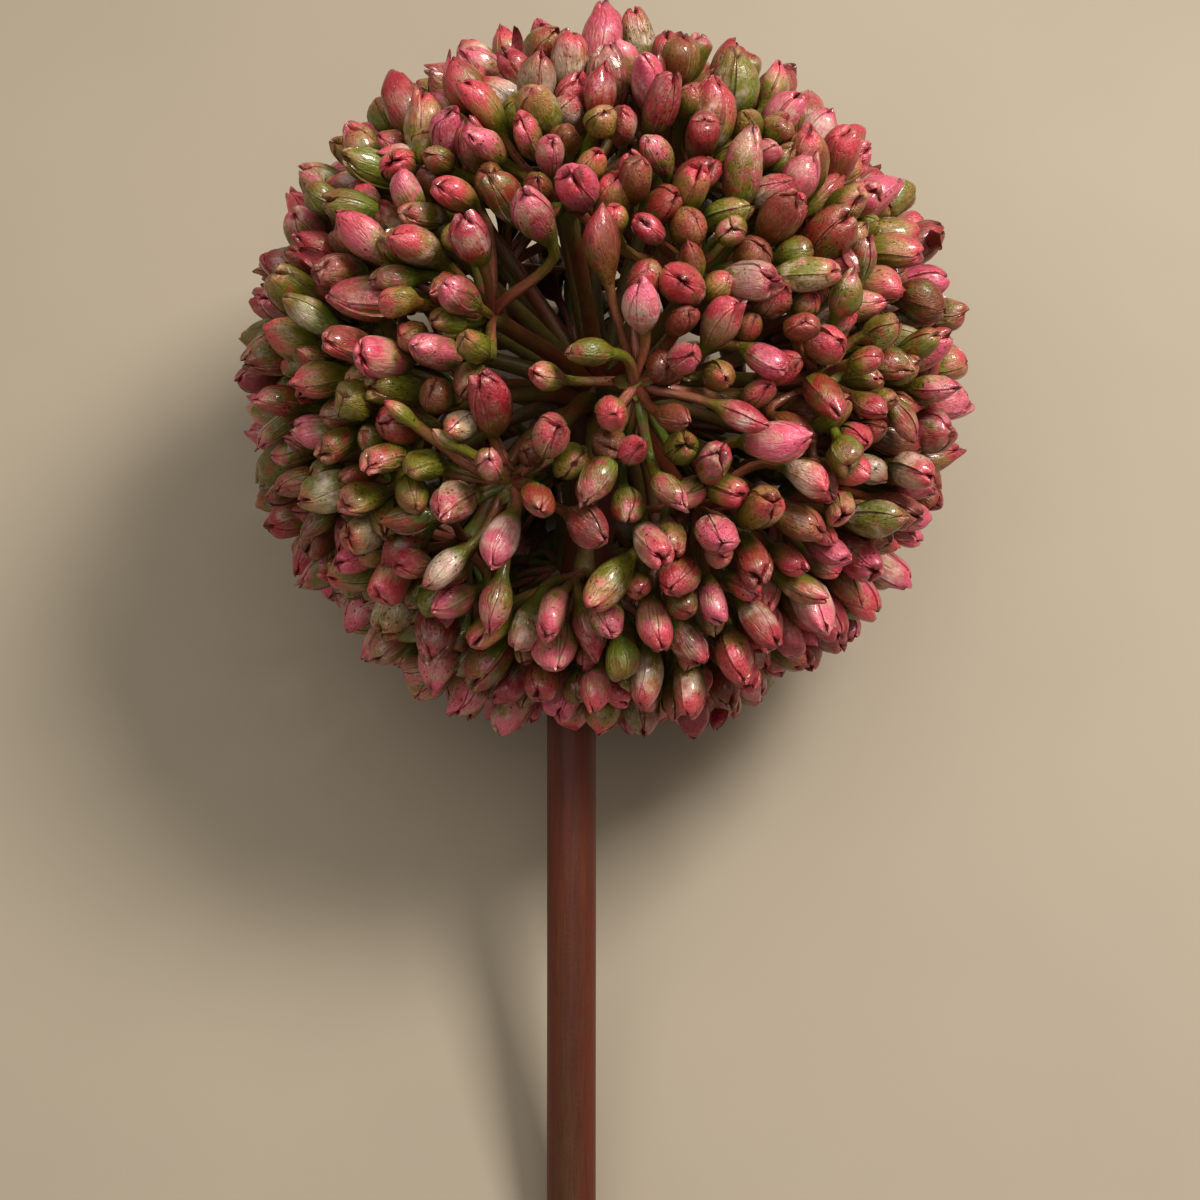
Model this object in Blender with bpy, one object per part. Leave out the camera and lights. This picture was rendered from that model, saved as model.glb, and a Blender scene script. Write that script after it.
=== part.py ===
"""Giant allium flower head, cut and laid on its side.

The round umbel rests on a small flat spot under its middle and the stalk's cut
end touches the surface. The origin is the middle of that spot, +Z is up and the
stalk runs towards -Y.

The head is worked out in its own frame first: X across, Y along the flower's
axis towards the crown, Z towards the upper side, and the origin in the middle of
the umbel. It is then leaned about X, so that the stalk's end comes down.
"""

import math

import bmesh
import bpy
import numpy as np
from mathutils import Matrix, Vector

# Driving dimensions, in metres
HEAD_RADIUS = 0.065  # middle of the umbel to the furthest bud tips
FLAT_DEPTH = 0.0035  # how far the soft buds give way where the head rests
STALK_RADIUS = 0.0044
STALK_LENGTH = 0.160  # middle of the umbel to the cut end
STALK_SHIFT = -0.0053  # the stalk bends to this side below the umbel's middle
BEND_LENGTH = 0.055
RECEPTACLE_RADIUS = 0.008  # the knob on top of the stalk, where the rays start
RECEPTACLE_Y = -0.004
RAY_RADIUS = 0.0014
RAY_GAP = 0.0003  # between a ray's root and the knob
KNOT_DISTANCE = 0.041  # middle of the umbel to a knot, where a ray branches
KNOT_SPREAD = 0.002
OPEN_KNOT_DISTANCE = 0.049  # the sprays on the upper side branch further out
KNOT_RADIUS = 0.0023
RAY_FACET_SHARE = 0.8  # how far out the knot's facet for the ray is, in knot radii
CORNERS_MERGE = 0.12  # corners of a knot that are nearer than this are one, in knot radii
BELLY_DISTANCE = 0.0594  # middle of the umbel to the thickest place of a bud
BELLY_SPREAD = (-0.0022, 0.0012)
BUD_RADIUS = 0.0040
BUD_SIZES = (0.84, 1.1)
SHOULDER_AHEAD = 0.0037  # from the belly to the shoulder, along the bud
TIP_AHEAD = 0.0062
SHOULDER_SHARE = 0.74  # of the bud's radius
NECK_BEHIND = 0.0056  # where an open spray's bud narrows to its thin stalk
NECK_RADIUS = 0.0012
BUD_GAP = 0.0003
NEARBY = 0.022  # buds further apart than this can't touch
PRESSED = 0.0012  # what would be lower than this is pressed flat on the surface

# How many there are of each
SPRAYS = 40
BUDS = 520
STALK_SIDES = 18
FEWEST_BUD_SIDES = 5

# Growth
SEED = 11
SCATTER = 0.035  # how far buds start from an even lattice, as a share of the radius
LEAN_OUTWARDS = (0.35, 0.65)  # share of a bud's direction taken from its knot, not the middle
OPEN_LEAN_OUTWARDS = (0.55, 1.0)
STRAY = 0.15  # how far a bud's direction strays
CLEAR_OF_STALK = math.radians(9.5)
SPRAY_CLEAR_OF_STALK = math.radians(24)
ROOT_CLEAR_OF_STALK = math.radians(58)
SPACING_STEPS = 200
SPACING_PUSH = 0.002
SETTLING_STEPS = 150
SETTLING_PUSH = 0.045
STEPS_PER_SEARCH = 10
SLIMMER = 0.97

# Directions in the head's frame
OPEN_SPRAYS = ((0.11, -0.1, 0.99), (-0.28, -0.4, 0.87), (0.71, -0.06, 0.7))
OPENINGS = (
    ((-0.16, 0.13, 0.98), math.radians(12)),
    ((-0.13, -0.57, 0.81), math.radians(9)),
    (OPEN_SPRAYS[0], math.radians(6.5)),
    (OPEN_SPRAYS[1], math.radians(6)),
)


def unit(vectors):
    """The vectors, each at length 1."""
    return vectors / np.linalg.norm(vectors, axis=-1, keepdims=True)


def lean_angle():
    """How far the stalk comes down from level for its lower rim to touch the surface."""
    height = HEAD_RADIUS - FLAT_DEPTH
    reach = math.hypot(STALK_LENGTH, STALK_RADIUS)
    return math.asin(height / reach) - math.atan2(STALK_RADIUS, STALK_LENGTH)


LEAN = lean_angle()
DOWN = np.array((0.0, -math.sin(LEAN), -math.cos(LEAN)))
STALK_EXIT = unit(np.array((STALK_SHIFT, -HEAD_RADIUS, 0.0)))


def to_world():
    """From the head's frame to the row's."""
    place = Matrix.Translation((0, 0, HEAD_RADIUS - FLAT_DEPTH))
    return place @ Matrix.Rotation(LEAN, 4, "X")


def lattice(count):
    """Directions spread evenly over a sphere along a spiral, from the crown to the stalk."""
    turn = math.pi * (3 - math.sqrt(5))
    steps = np.arange(count)
    height = 1 - (2 * steps + 1) / count
    around = np.sqrt(1 - height**2)
    return np.stack((around * np.cos(turn * steps), height, around * np.sin(turn * steps)), axis=1)


def keep_outside(directions, axis, angle):
    """Moves the directions that lie inside a cone out to its edge."""
    axis = unit(np.asarray(axis, float))
    cosine = directions @ axis
    inside = cosine > math.cos(angle)
    sideways = unit(directions[inside] - cosine[inside, None] * axis)
    directions[inside] = axis * math.cos(angle) + sideways * math.sin(angle)


def spray_directions():
    """One direction for each spray, spaced by pushing each other apart. The open ones come
    first and stay where they are."""
    fixed = unit(np.array(OPEN_SPRAYS))
    found = lattice(SPRAYS)
    nearest = [int(np.argmax(found @ direction)) for direction in fixed]
    found = np.concatenate((fixed, np.delete(found, nearest, axis=0)))
    free = slice(len(fixed), None)
    for _ in range(SPACING_STEPS):
        apart = found[:, None] - found[None]
        distance = np.linalg.norm(apart, axis=2) + np.eye(SPRAYS)
        push = (apart / distance[..., None] ** 4).sum(axis=1)
        found[free] += SPACING_PUSH * push[free]
        found = unit(found)
        keep_outside(found, STALK_EXIT, SPRAY_CLEAR_OF_STALK)
    return found


class Buds:
    """Where each bud sits, which way it points and how big it is, in the head's frame."""

    # Balls that stand for a bud while it settles: their places, as shares of the way from
    # its belly to its knot or, ahead of the belly, to its tip, and how thick they are.
    TO_KNOT = ((0.0, 1.0), (0.2, 0.86), (0.4, 0.66), (0.6, 0.46))
    TO_TIP = ((0.5, 0.84),)

    def __init__(self, knots, draw):
        self.knots = knots
        self.lean = draw.uniform(*LEAN_OUTWARDS, (BUDS, 1))
        self.open_lean = draw.uniform(*OPEN_LEAN_OUTWARDS, (BUDS, 1))
        self.stray = draw.normal(0, STRAY, (BUDS, 3))
        self.size = draw.uniform(*BUD_SIZES, BUDS)
        self.distance = BELLY_DISTANCE + draw.uniform(*BELLY_SPREAD, BUDS)
        self.direction = unit(lattice(BUDS) + draw.normal(0, SCATTER, (BUDS, 3)))
        self.lowest = int(np.argmax(self.direction @ DOWN))
        self.hold()
        for step in range(SETTLING_STEPS):
            if step % STEPS_PER_SEARCH == 0:
                self.join_nearest()
            self.settle()
        self.join_nearest()
        self.fit()

    def hold(self):
        """Keeps buds off the stalk and out of the openings, and one bud straight down."""
        for axis, angle in OPENINGS:
            keep_outside(self.direction, axis, angle)
        keep_outside(self.direction, STALK_EXIT, CLEAR_OF_STALK)
        self.direction[self.lowest] = DOWN
        self.distance[self.lowest] = HEAD_RADIUS - FLAT_DEPTH - SHOULDER_AHEAD - PRESSED / 2

    def aim(self):
        """A bud points partly away from the umbel's middle and partly away from its knot."""
        self.belly = self.direction * self.distance[:, None]
        from_knot = unit(self.belly - self.knots[self.spray])
        is_open = (self.spray < len(OPEN_SPRAYS))[:, None]
        lean = np.where(is_open, self.open_lean, self.lean)
        self.axis = unit((1 - lean) * self.direction + lean * from_knot + self.stray)
        self.axis[self.lowest] = DOWN

    def join_nearest(self):
        """Each bud goes to the spray it is nearest to. Also lists the buds near enough to touch."""
        self.spray = np.argmax(self.direction @ unit(self.knots).T, axis=1)
        self.aim()
        apart = np.linalg.norm(self.belly[:, None] - self.belly[None], axis=2)
        self.first, self.second = np.nonzero(np.triu(apart < NEARBY, k=1))

    def balls(self):
        """The middles and radii of each bud's balls."""
        radius = BUD_RADIUS * self.size
        for share, thickness in self.TO_KNOT:
            yield self.belly + share * (self.knots[self.spray] - self.belly), thickness * radius
        ahead = (TIP_AHEAD * self.size)[:, None] * self.axis
        for share, thickness in self.TO_TIP:
            yield self.belly + share * ahead, thickness * radius

    def closest(self):
        """For each pair, how deep their balls overlap most and the way to push them apart."""
        deepest = np.full(len(self.first), -1.0)
        away = np.zeros((len(self.first), 3))
        balls = list(self.balls())
        for middle_1, radius_1 in balls:
            for middle_2, radius_2 in balls:
                between = middle_1[self.first] - middle_2[self.second]
                gap = np.linalg.norm(between, axis=1)
                reach = radius_1[self.first] + radius_2[self.second]
                depth = (reach + BUD_GAP - gap) / reach
                worse = depth > deepest
                deepest[worse] = depth[worse]
                away[worse] = (between / gap[:, None])[worse]
        return deepest, away

    def settle(self):
        """Pushes the buds that overlap apart a little, over the head's surface."""
        depth, away = self.closest()
        push = np.maximum(depth, 0)[:, None] * away * SETTLING_PUSH
        np.add.at(self.direction, self.first, push)
        np.add.at(self.direction, self.second, -push)
        self.direction = unit(self.direction)
        self.hold()
        self.aim()

    def fit(self):
        """Makes the buds that still overlap slimmer."""
        tight = self.closest()[0] > 0
        while tight.any():
            crowded = np.union1d(self.first[tight], self.second[tight])
            self.size[crowded] *= SLIMMER
            tight = self.closest()[0] > 0


def stalk_centre(y):
    """The stalk's middle at this height: straight below, and bent over to the umbel's middle."""
    share = min(max((RECEPTACLE_Y - y) / BEND_LENGTH, 0.0), 1.0)
    return Vector((STALK_SHIFT * share * share * (3 - 2 * share), y, 0))


def join_rings(bm, lower, upper):
    """Faces between two rings of as many points, facing out."""
    count = len(lower)
    for index in range(count):
        after = (index + 1) % count
        bm.faces.new((lower[index], lower[after], upper[after], upper[index]))


def new_node(name, bm, material):
    """Places the finished mesh in the row's frame, pressed flat where it meets the surface."""
    bm.transform(to_world())
    for vertex in bm.verts:
        if vertex.co.z < PRESSED:
            vertex.co.z = 0
    bmesh.ops.recalc_face_normals(bm, faces=bm.faces)
    mesh = bpy.data.meshes.new(name)
    bm.to_mesh(mesh)
    bm.free()
    mesh.materials.append(material)
    mesh.shade_smooth()
    mesh.set_sharp_from_angle(angle=math.radians(50))
    node = bpy.data.objects.new(name, mesh)
    bpy.context.scene.collection.objects.link(node)


def build_stalk(material):
    """The round stalk, one piece with the knob at its top."""
    bm = bmesh.new()
    knob_end = math.pi - math.asin(STALK_RADIUS / RECEPTACLE_RADIUS)
    profile = []
    for step in range(1, 7):
        angle = knob_end * step / 6
        height = RECEPTACLE_Y + RECEPTACLE_RADIUS * math.cos(angle)
        profile.append((height, RECEPTACLE_RADIUS * math.sin(angle)))
    knob_foot = profile[-1][0]
    below = [knob_foot + (RECEPTACLE_Y - BEND_LENGTH - knob_foot) * step / 5 for step in range(1, 6)]
    profile += [(height, STALK_RADIUS) for height in below + [-STALK_LENGTH]]

    rings = []
    for height, radius in profile:
        centre = stalk_centre(height)
        ring = []
        for side in range(STALK_SIDES):
            angle = 2 * math.pi * side / STALK_SIDES
            across = Vector((math.cos(angle), 0, math.sin(angle))) * radius
            ring.append(bm.verts.new(centre + across))
        rings.append(ring)
    for lower, upper in zip(rings, rings[1:]):
        join_rings(bm, lower, upper)
    top = bm.verts.new((0, RECEPTACLE_Y + RECEPTACLE_RADIUS, 0))
    for index in range(STALK_SIDES):
        bm.faces.new((rings[0][index], top, rings[0][(index + 1) % STALK_SIDES]))
    bm.faces.new(rings[-1])
    new_node("stalk", bm, material)


def ray_root(direction):
    """Where the ray to a spray leaves the knob: spread up the knob, so that all clear the stalk."""
    stalk = Vector((0, -1, 0))
    towards = Vector(direction)
    angle = stalk.angle(towards)
    share = (angle - SPRAY_CLEAR_OF_STALK) / (math.pi - SPRAY_CLEAR_OF_STALK)
    start = ROOT_CLEAR_OF_STALK + max(share, 0) * (math.pi - ROOT_CLEAR_OF_STALK)
    sideways = (towards - stalk * towards.dot(stalk)).normalized()
    leaving = stalk * math.cos(start) + sideways * math.sin(start)
    middle = Vector((0, RECEPTACLE_Y, 0))
    return middle + leaving * (RECEPTACLE_RADIUS + RAY_GAP), leaving


def knot_facets(bm, centre, outwards, radius, inwards):
    """Makes a convex knot. It returns its facets: one for each bud, then the ray's."""
    bmesh.ops.create_cube(bm, size=4 * radius, matrix=Matrix.Translation(centre))
    planes = [(direction, radius) for direction in outwards]
    planes.append((inwards, RAY_FACET_SHARE * radius))
    for normal, distance in planes:
        cut = bmesh.ops.bisect_plane(
            bm,
            geom=bm.verts[:] + bm.edges[:] + bm.faces[:],
            plane_co=centre + normal * distance,
            plane_no=normal,
            clear_outer=True,
        )["geom_cut"]
        rim = [part for part in cut if isinstance(part, bmesh.types.BMEdge)]
        bmesh.ops.holes_fill(bm, edges=rim, sides=0)
    bmesh.ops.remove_doubles(bm, verts=bm.verts, dist=CORNERS_MERGE * radius)
    bm.normal_update()
    return [max(bm.faces, key=lambda face: face.normal.dot(normal)) for normal, _ in planes]


def add_corners(bm, facet, count):
    """Splits the facet's longest edges until it has this many corners."""
    while len(facet.verts) < count:
        longest = max(facet.edges, key=lambda edge: edge.calc_length())
        bmesh.utils.edge_split(longest, longest.verts[0], 0.5)


def draw_out(bm, facet, rings):
    """Grows rings of points (middle, axis, radius) from a facet, which goes, and returns the last."""
    lower = list(facet.verts)
    middle_of_facet = facet.calc_center_median()
    corners = [vertex.co - middle_of_facet for vertex in lower]
    step = 2 * math.pi / len(lower)
    bm.faces.remove(facet)
    for middle, axis, radius in rings:
        first = (corners[0] - axis * corners[0].dot(axis)).normalized()
        second = axis.cross(first)
        turned = [math.atan2(c.dot(second), c.dot(first)) % (2 * math.pi) for c in corners[1:]]
        start = sum(angle - step * (index + 1) for index, angle in enumerate(turned)) / len(lower)
        upper = []
        for index in range(len(lower)):
            angle = start + step * index
            across = first * math.cos(angle) + second * math.sin(angle)
            upper.append(bm.verts.new(middle + across * radius))
        join_rings(bm, lower, upper)
        lower = upper
    return lower


def build_spray(name, direction, knot, buds, members, is_open, material):
    """One spray: a ray from the knob to its knot, and the buds on their stalks round the knot."""
    bm = bmesh.new()
    centre = Vector(knot)
    bellies = [Vector(buds.belly[index]) for index in members]
    axes = [Vector(buds.axis[index]) for index in members]
    outwards = [(belly - centre).normalized() for belly in bellies]
    root, leaving = ray_root(direction)
    inwards = (root - centre).normalized()
    facets = knot_facets(bm, centre, outwards, KNOT_RADIUS, inwards)
    for facet in facets:
        add_corners(bm, facet, FEWEST_BUD_SIDES)

    for facet, belly, axis, index in zip(facets, bellies, axes, members):
        size = buds.size[index]
        radius = BUD_RADIUS * size
        shoulder = belly + axis * SHOULDER_AHEAD * size
        rings = [(belly, axis, radius), (shoulder, axis, radius * SHOULDER_SHARE)]
        if is_open:
            rings.insert(0, (belly - axis * NECK_BEHIND * size, axis, NECK_RADIUS))
        last = draw_out(bm, facet, rings)
        tip = bm.verts.new(belly + axis * TIP_AHEAD * size)
        for corner, after in zip(last, last[1:] + last[:1]):
            bm.faces.new((corner, after, tip))

    below_knot = centre + inwards * 2 * KNOT_RADIUS
    last = draw_out(bm, facets[-1], ((below_knot, inwards, RAY_RADIUS), (root, -leaving, RAY_RADIUS)))
    bm.faces.new(last)
    new_node(name, bm, material)


def plant_material(name, colour, roughness):
    material = bpy.data.materials.new(name)
    material.use_nodes = True
    shader = material.node_tree.nodes["Principled BSDF"]
    shader.inputs["Base Color"].default_value = (*colour, 1)
    shader.inputs["Roughness"].default_value = roughness
    shader.inputs["Metallic"].default_value = 0
    return material


def main():
    for thing in list(bpy.data.objects):
        bpy.data.objects.remove(thing)
    build_stalk(plant_material("stalk", (0.13, 0.045, 0.03), 0.55))

    draw = np.random.default_rng(SEED)
    directions = spray_directions()
    reach = KNOT_DISTANCE + draw.uniform(-KNOT_SPREAD, KNOT_SPREAD, (SPRAYS, 1))
    reach[: len(OPEN_SPRAYS)] = OPEN_KNOT_DISTANCE
    knots = directions * reach
    buds = Buds(knots, draw)
    bud_material = plant_material("buds", (0.52, 0.13, 0.12), 0.4)
    for spray in range(SPRAYS):
        members = np.nonzero(buds.spray == spray)[0].tolist()
        name = f"spray_{spray + 1:02d}"
        is_open = spray < len(OPEN_SPRAYS)
        build_spray(name, directions[spray], knots[spray], buds, members, is_open, bud_material)


main()
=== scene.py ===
"""Dresses a giant allium flower head in bud: every floret with its petals, the thin
stalks and rays that carry them, and the smooth main stalk.

The file is laid out as an add-on. Each operator makes one group of pieces, sizes and
colours are properties, and main() calls the operators in order. Lengths are in metres.
Shapes are worked out in the head's own frame: X across, Y along the flower's axis
towards the crown, Z towards the upper side, and the origin in the middle of the umbel.
"""

import functools
import math

import bpy
import numpy as np
from mathutils import Matrix


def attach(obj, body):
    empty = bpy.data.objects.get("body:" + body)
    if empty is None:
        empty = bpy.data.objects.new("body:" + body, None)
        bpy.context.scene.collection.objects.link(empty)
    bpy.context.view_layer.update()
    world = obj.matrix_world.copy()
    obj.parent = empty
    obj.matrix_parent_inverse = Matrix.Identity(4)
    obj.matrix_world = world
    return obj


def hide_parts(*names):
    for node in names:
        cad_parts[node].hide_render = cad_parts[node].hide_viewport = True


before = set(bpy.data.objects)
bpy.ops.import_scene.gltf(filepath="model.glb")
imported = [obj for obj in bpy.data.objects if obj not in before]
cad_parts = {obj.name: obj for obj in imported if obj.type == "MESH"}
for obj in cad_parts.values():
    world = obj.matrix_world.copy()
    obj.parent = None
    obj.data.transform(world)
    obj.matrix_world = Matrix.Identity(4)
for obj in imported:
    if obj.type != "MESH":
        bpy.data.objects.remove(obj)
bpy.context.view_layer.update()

bl_info = {
    "name": "Giant Allium Flower Head",
    "version": (1, 0, 0),
    "blender": (4, 5, 0),
    "location": "3D View > Sidebar > Allium",
    "description": "Dresses a giant allium flower head in bud on its cut stalk",
    "category": "Object",
}

# Driving dimensions of the head, as the solids have them
HEAD_RADIUS = 0.065
FLAT_DEPTH = 0.0035
STALK_RADIUS = 0.0044
STALK_LENGTH = 0.160
STALK_SHIFT = -0.0053
BEND_LENGTH = 0.055
RECEPTACLE_RADIUS = 0.008
RECEPTACLE_Y = -0.004
KNOT_DISTANCE = 0.041
KNOT_SPREAD = 0.002
OPEN_KNOT_DISTANCE = 0.049
BELLY_DISTANCE = 0.0594
BELLY_SPREAD = (-0.0022, 0.0012)
BUD_RADIUS = 0.0040
BUD_SIZES = (0.84, 1.1)
SHOULDER_AHEAD = 0.0037
TIP_AHEAD = 0.0062
BUD_GAP = 0.0003
NEARBY = 0.022
PRESSED = 0.0012
SPRAYS = 40
BUDS = 520

# Growth rule of the head, as the solids have it
SEED = 11
SCATTER = 0.035
LEAN_OUTWARDS = (0.35, 0.65)
OPEN_LEAN_OUTWARDS = (0.55, 1.0)
STRAY = 0.15
CLEAR_OF_STALK = math.radians(9.5)
SPRAY_CLEAR_OF_STALK = math.radians(24)
ROOT_CLEAR_OF_STALK = math.radians(58)
SPACING_STEPS = 200
SPACING_PUSH = 0.002
SETTLING_STEPS = 150
SETTLING_PUSH = 0.045
STEPS_PER_SEARCH = 10
SLIMMER = 0.97
OPEN_SPRAYS = ((0.11, -0.1, 0.99), (-0.28, -0.4, 0.87), (0.71, -0.06, 0.7))
OPENINGS = (
    ((-0.16, 0.13, 0.98), math.radians(12)),
    ((-0.13, -0.57, 0.81), math.radians(9)),
    (OPEN_SPRAYS[0], math.radians(6.5)),
    (OPEN_SPRAYS[1], math.radians(6)),
)

# Finer shape of the florets
LOOK_SEED = 5
COLUMNS = 24  # points round a floret
RING_PLACES = (0, 0.05, 0.11, 0.19, 0.28, 0.38, 0.49, 0.6, 0.7, 0.79, 0.86, 0.91, 0.95, 0.98, 1)
FEWER_RING_PLACES = (0, 0.08, 0.2, 0.36, 0.54, 0.71, 0.85, 0.94, 1)  # for the filling florets
INNER_COLUMNS = {2: 4, 3: 3, 4: 2}  # of the columns of one petal, those between it and the next
CRACK = 0.024  # angle of the crease on each side of an outer petal
AXIS_STRAY = 0.13
LOOSE_PETALS = 0.04  # share of the barrel-shaped florets with a withered petal
LOOSE_PETAL_REACH = (0.004, 0.006)
LOOSE_PETAL_THICK = 0.00014

# Thin stalks, rays and bracts
PEDICEL_SIDES = 8
PEDICEL_RINGS = 7
PEDICEL_SIZES = (0.88, 1.15)
PEDICEL_SWELL = 1.25  # its radius where the floret starts
PEDICEL_OUTWARDS = 0.45  # how far it leaves the knot outwards and not straight to its floret
PEDICEL_STRAY = 0.12
JUST_BELOW = 0.0004  # from its last ring to the floret's base
RAY_SIDES = 12
RAY_RINGS = 20
RAY_DOME_RINGS = 4
RAY_SIZES = (0.92, 1.15)
RAY_WANDER = 0.0012
RAY_SUNK = 0.0012  # how deep it starts in the knob
RAY_RIBS = 5
RAY_RIB_DEPTH = 0.045
BRACTS = (3, 6)  # from this many up to one less than this
BRACT_SIZES = (0.6, 1.15)
BRACT_OPEN_SIZE = 0.62  # on the open sprays
BRACT_THICK = 0.00045
SCALE_ROWS = 9
SCALE_COLUMNS = 7

# Materials
MILLIMETRE = 0.001
GRAIN_REACH = 40  # each part's grain is shifted by up to this, so that no two look alike
STALK_SHARP = math.radians(60)
SPRAY_SHARP = math.radians(52)

# Filling florets and bulbils
OPEN_SLIMMER = 0.9  # the florets of the open sprays are smaller
FILLING_SPOTS = 5000
FILLING_CLEAR = math.radians(3)  # how much further they keep off an opening
FILLING_RADII = (0.0016, 0.0025)
FILLING_SWELL = 1.15  # their radius, over the room that they have
FILLING_STRAY = 0.2
FILLING_SHIFT = (-0.001, 0.002)
FILLING_AHEAD = 1.55  # from belly to tip, over their radius
BULBIL_AHEAD = 1.1
BULBIL_LEAN = 0.4
BULBILS = (
    # spray, its middle from the knot, radius
    (0, (0.0042, 0.0022, 0.0040), 0.0025),
    (0, (-0.0042, -0.0096, 0.0050), 0.0022),
    (1, (0.0030, 0.0040, 0.0044), 0.0023),
    (2, (-0.0020, -0.0050, 0.0048), 0.0024),
)
SHADED_SIDE = np.array((-0.85, -0.45, 0.28))  # it had less sun, so its florets stay greener
SHADED_GREEN = 0.3

# Main stalk
STALK_SIDES = 56
STALK_RINGS = 110
NECK = 0.004  # length of the stretch where the stalk widens into its knob
NECK_SWELL = 0.0006
CUT_INSET = 0.0003
CUT_RINGS = ((0.2, 0.0012), (0.45, 0.0009), (0.7, 0.0005), (0.88, 0.0), (0.965, 0.0))  # share out, sunk

# Stage
FLOOR_REACH = 6.0
FLOOR_DROP = 0.00002
KEY_LIGHT = {"offset": (0.30, 0.15, 0.56), "size": 0.2, "tone": (1.0, 0.965, 0.92)}
OVERHEAD_LIGHT = {"offset": (-0.14, -0.02, 0.85), "size": 0.8, "tone": (1, 0.985, 0.95)}
SKY_TONE = (1.0, 0.96, 0.88, 1)
CAMERA_AIM = (-0.0002, -0.0385, 0)  # in the head's frame: what is in the middle of the view


def paint(red, green, blue):
    """A display colour, 0 to 255 a channel, as the linear colour that shaders take."""
    shares = (value / 255 for value in (red, green, blue))
    return tuple(s / 12.92 if s <= 0.04045 else ((s + 0.055) / 1.055) ** 2.4 for s in shares)


# ---------------------------------------------------------------- sizes and colours


def number(name, description, default, low=0, **kind):
    return bpy.props.FloatProperty(name=name, description=description, default=default, min=low, **kind)


def length(name, description, default):
    return number(name, description, default, precision=5, subtype="DISTANCE", unit="LENGTH")


def share(name, description, default):
    return number(name, description, default, max=1, subtype="FACTOR")


def colour(name, description, default):
    return bpy.props.FloatVectorProperty(
        name=name, description=description, default=paint(*default), size=3, min=0, max=1, subtype="COLOR"
    )


class AlliumFloretSettings(bpy.types.PropertyGroup):
    thickness: share("Thickness", "Thickness of a floret, as a share of the room it has", 0.77)
    filling: bpy.props.IntProperty(
        name="Filling florets", description="Smaller ones in the gaps, deeper in the head", default=480, min=0
    )
    filling_depth: length("Filling depth", "How much deeper the filling florets sit", 0.0034)
    pedicel: length("Pedicel radius", "Radius of a floret's thin stalk", 0.00078)
    petal_step: length("Petal step", "How far an outer petal's edge stands out", 0.00018)
    base_colour: colour("Base", "Where a floret joins its thin stalk", (116, 114, 38))
    middle_colour: colour("Middle", "Around the belly of a floret", (162, 112, 64))
    tip_colour: colour("Tip", "Towards the tip of a floret", (196, 72, 82))
    bright_colour: colour("Blush", "The brightest pink patches", (216, 100, 126))
    deep_colour: colour("Crimson", "Deep red patches", (174, 40, 56))
    # Waxy bloom and faded bands, and also the painted highlight on the pale rim behind each petal's edge
    pale_colour: colour("Bloom", "Whitish waxy patches", (230, 206, 188))
    fresh_colour: colour("Fresh", "Greener patches near the base", (112, 124, 42))
    dull_colour: colour("Dull", "Older, browner florets", (122, 60, 34))
    # Partly the petals' own darker edge, partly painted shade in the crease between overlapping petals
    edge_colour: colour("Edge", "Darker red along the petals' edges", (132, 46, 40))
    # Real brown wear and specks, and also painted shade: the dark mouth and the browner stretches of the
    # creases
    seam_colour: colour("Seam", "Brown worn edges, specks and the mouth", (74, 30, 20))
    pedicel_colour: colour("Pedicel", "The thin stalks near their knot", (166, 98, 78))
    roughness: share("Roughness", "Roughness of the petals' skin", 0.35)
    wax: share("Wax", "Strength of the waxy coat", 0.4)


class AlliumSprayFrameSettings(bpy.types.PropertyGroup):
    ray: length("Ray radius", "Radius of a ray at its thinnest", 0.00125)
    knot: length("Knot radius", "Radius of the swelling where a ray branches", 0.0021)
    bract: length("Bract length", "Length of the small green scales at a knot", 0.0062)
    ray_colour: colour("Ray", "Skin of the rays", (106, 90, 36))
    blush_colour: colour("Ray blush", "Reddish stretches of the rays", (122, 60, 34))
    green_colour: colour("Green", "Fresh green of knots and bracts", (138, 148, 74))
    fibre_colour: colour("Fibre", "Dry brown specks and edges", (70, 44, 26))
    roughness: share("Roughness", "Roughness of rays, knots and bracts", 0.46)


class AlliumStalkSettings(bpy.types.PropertyGroup):
    skin_colour: colour("Skin", "Maroon skin of the main stalk", (106, 45, 27))
    shade_colour: colour("Dark skin", "Darker stretches of the main stalk", (68, 28, 16))
    olive_colour: colour("Olive", "Olive patches that show through the skin", (86, 60, 28))
    pith_colour: colour("Pith", "Cut end of the main stalk", (176, 168, 122))
    roughness: share("Roughness", "Roughness of the main stalk's skin", 0.5)


class AlliumStageSettings(bpy.types.PropertyGroup):
    floor_colour: colour("Floor", "The plain pale floor", (172, 160, 142))
    key_power: number("Key light", "Power of the soft light from the upper right", 3.75, unit="POWER")
    overhead_power: number("Overhead light", "Power of the broad light from above", 2.3, unit="POWER")
    sky_strength: number("Sky", "Strength of the even light", 0.27)
    distance: length("Camera distance", "From the lens to what it looks at", 0.3804)
    lens: number("Lens", "Focal length in millimetres", 64, low=1, unit="CAMERA")


SETTINGS = {
    "allium_florets": AlliumFloretSettings,
    "allium_frame": AlliumSprayFrameSettings,
    "allium_stalk": AlliumStalkSettings,
    "allium_stage": AlliumStageSettings,
}


# ---------------------------------------------------------------- growth


def unit(vectors):
    """The vectors, each at length 1."""
    return vectors / np.linalg.norm(vectors, axis=-1, keepdims=True)


def lean_angle():
    """How far the stalk comes down from level for its lower rim to touch the surface."""
    height = HEAD_RADIUS - FLAT_DEPTH
    reach = math.hypot(STALK_LENGTH, STALK_RADIUS)
    return math.asin(height / reach) - math.atan2(STALK_RADIUS, STALK_LENGTH)


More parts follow.
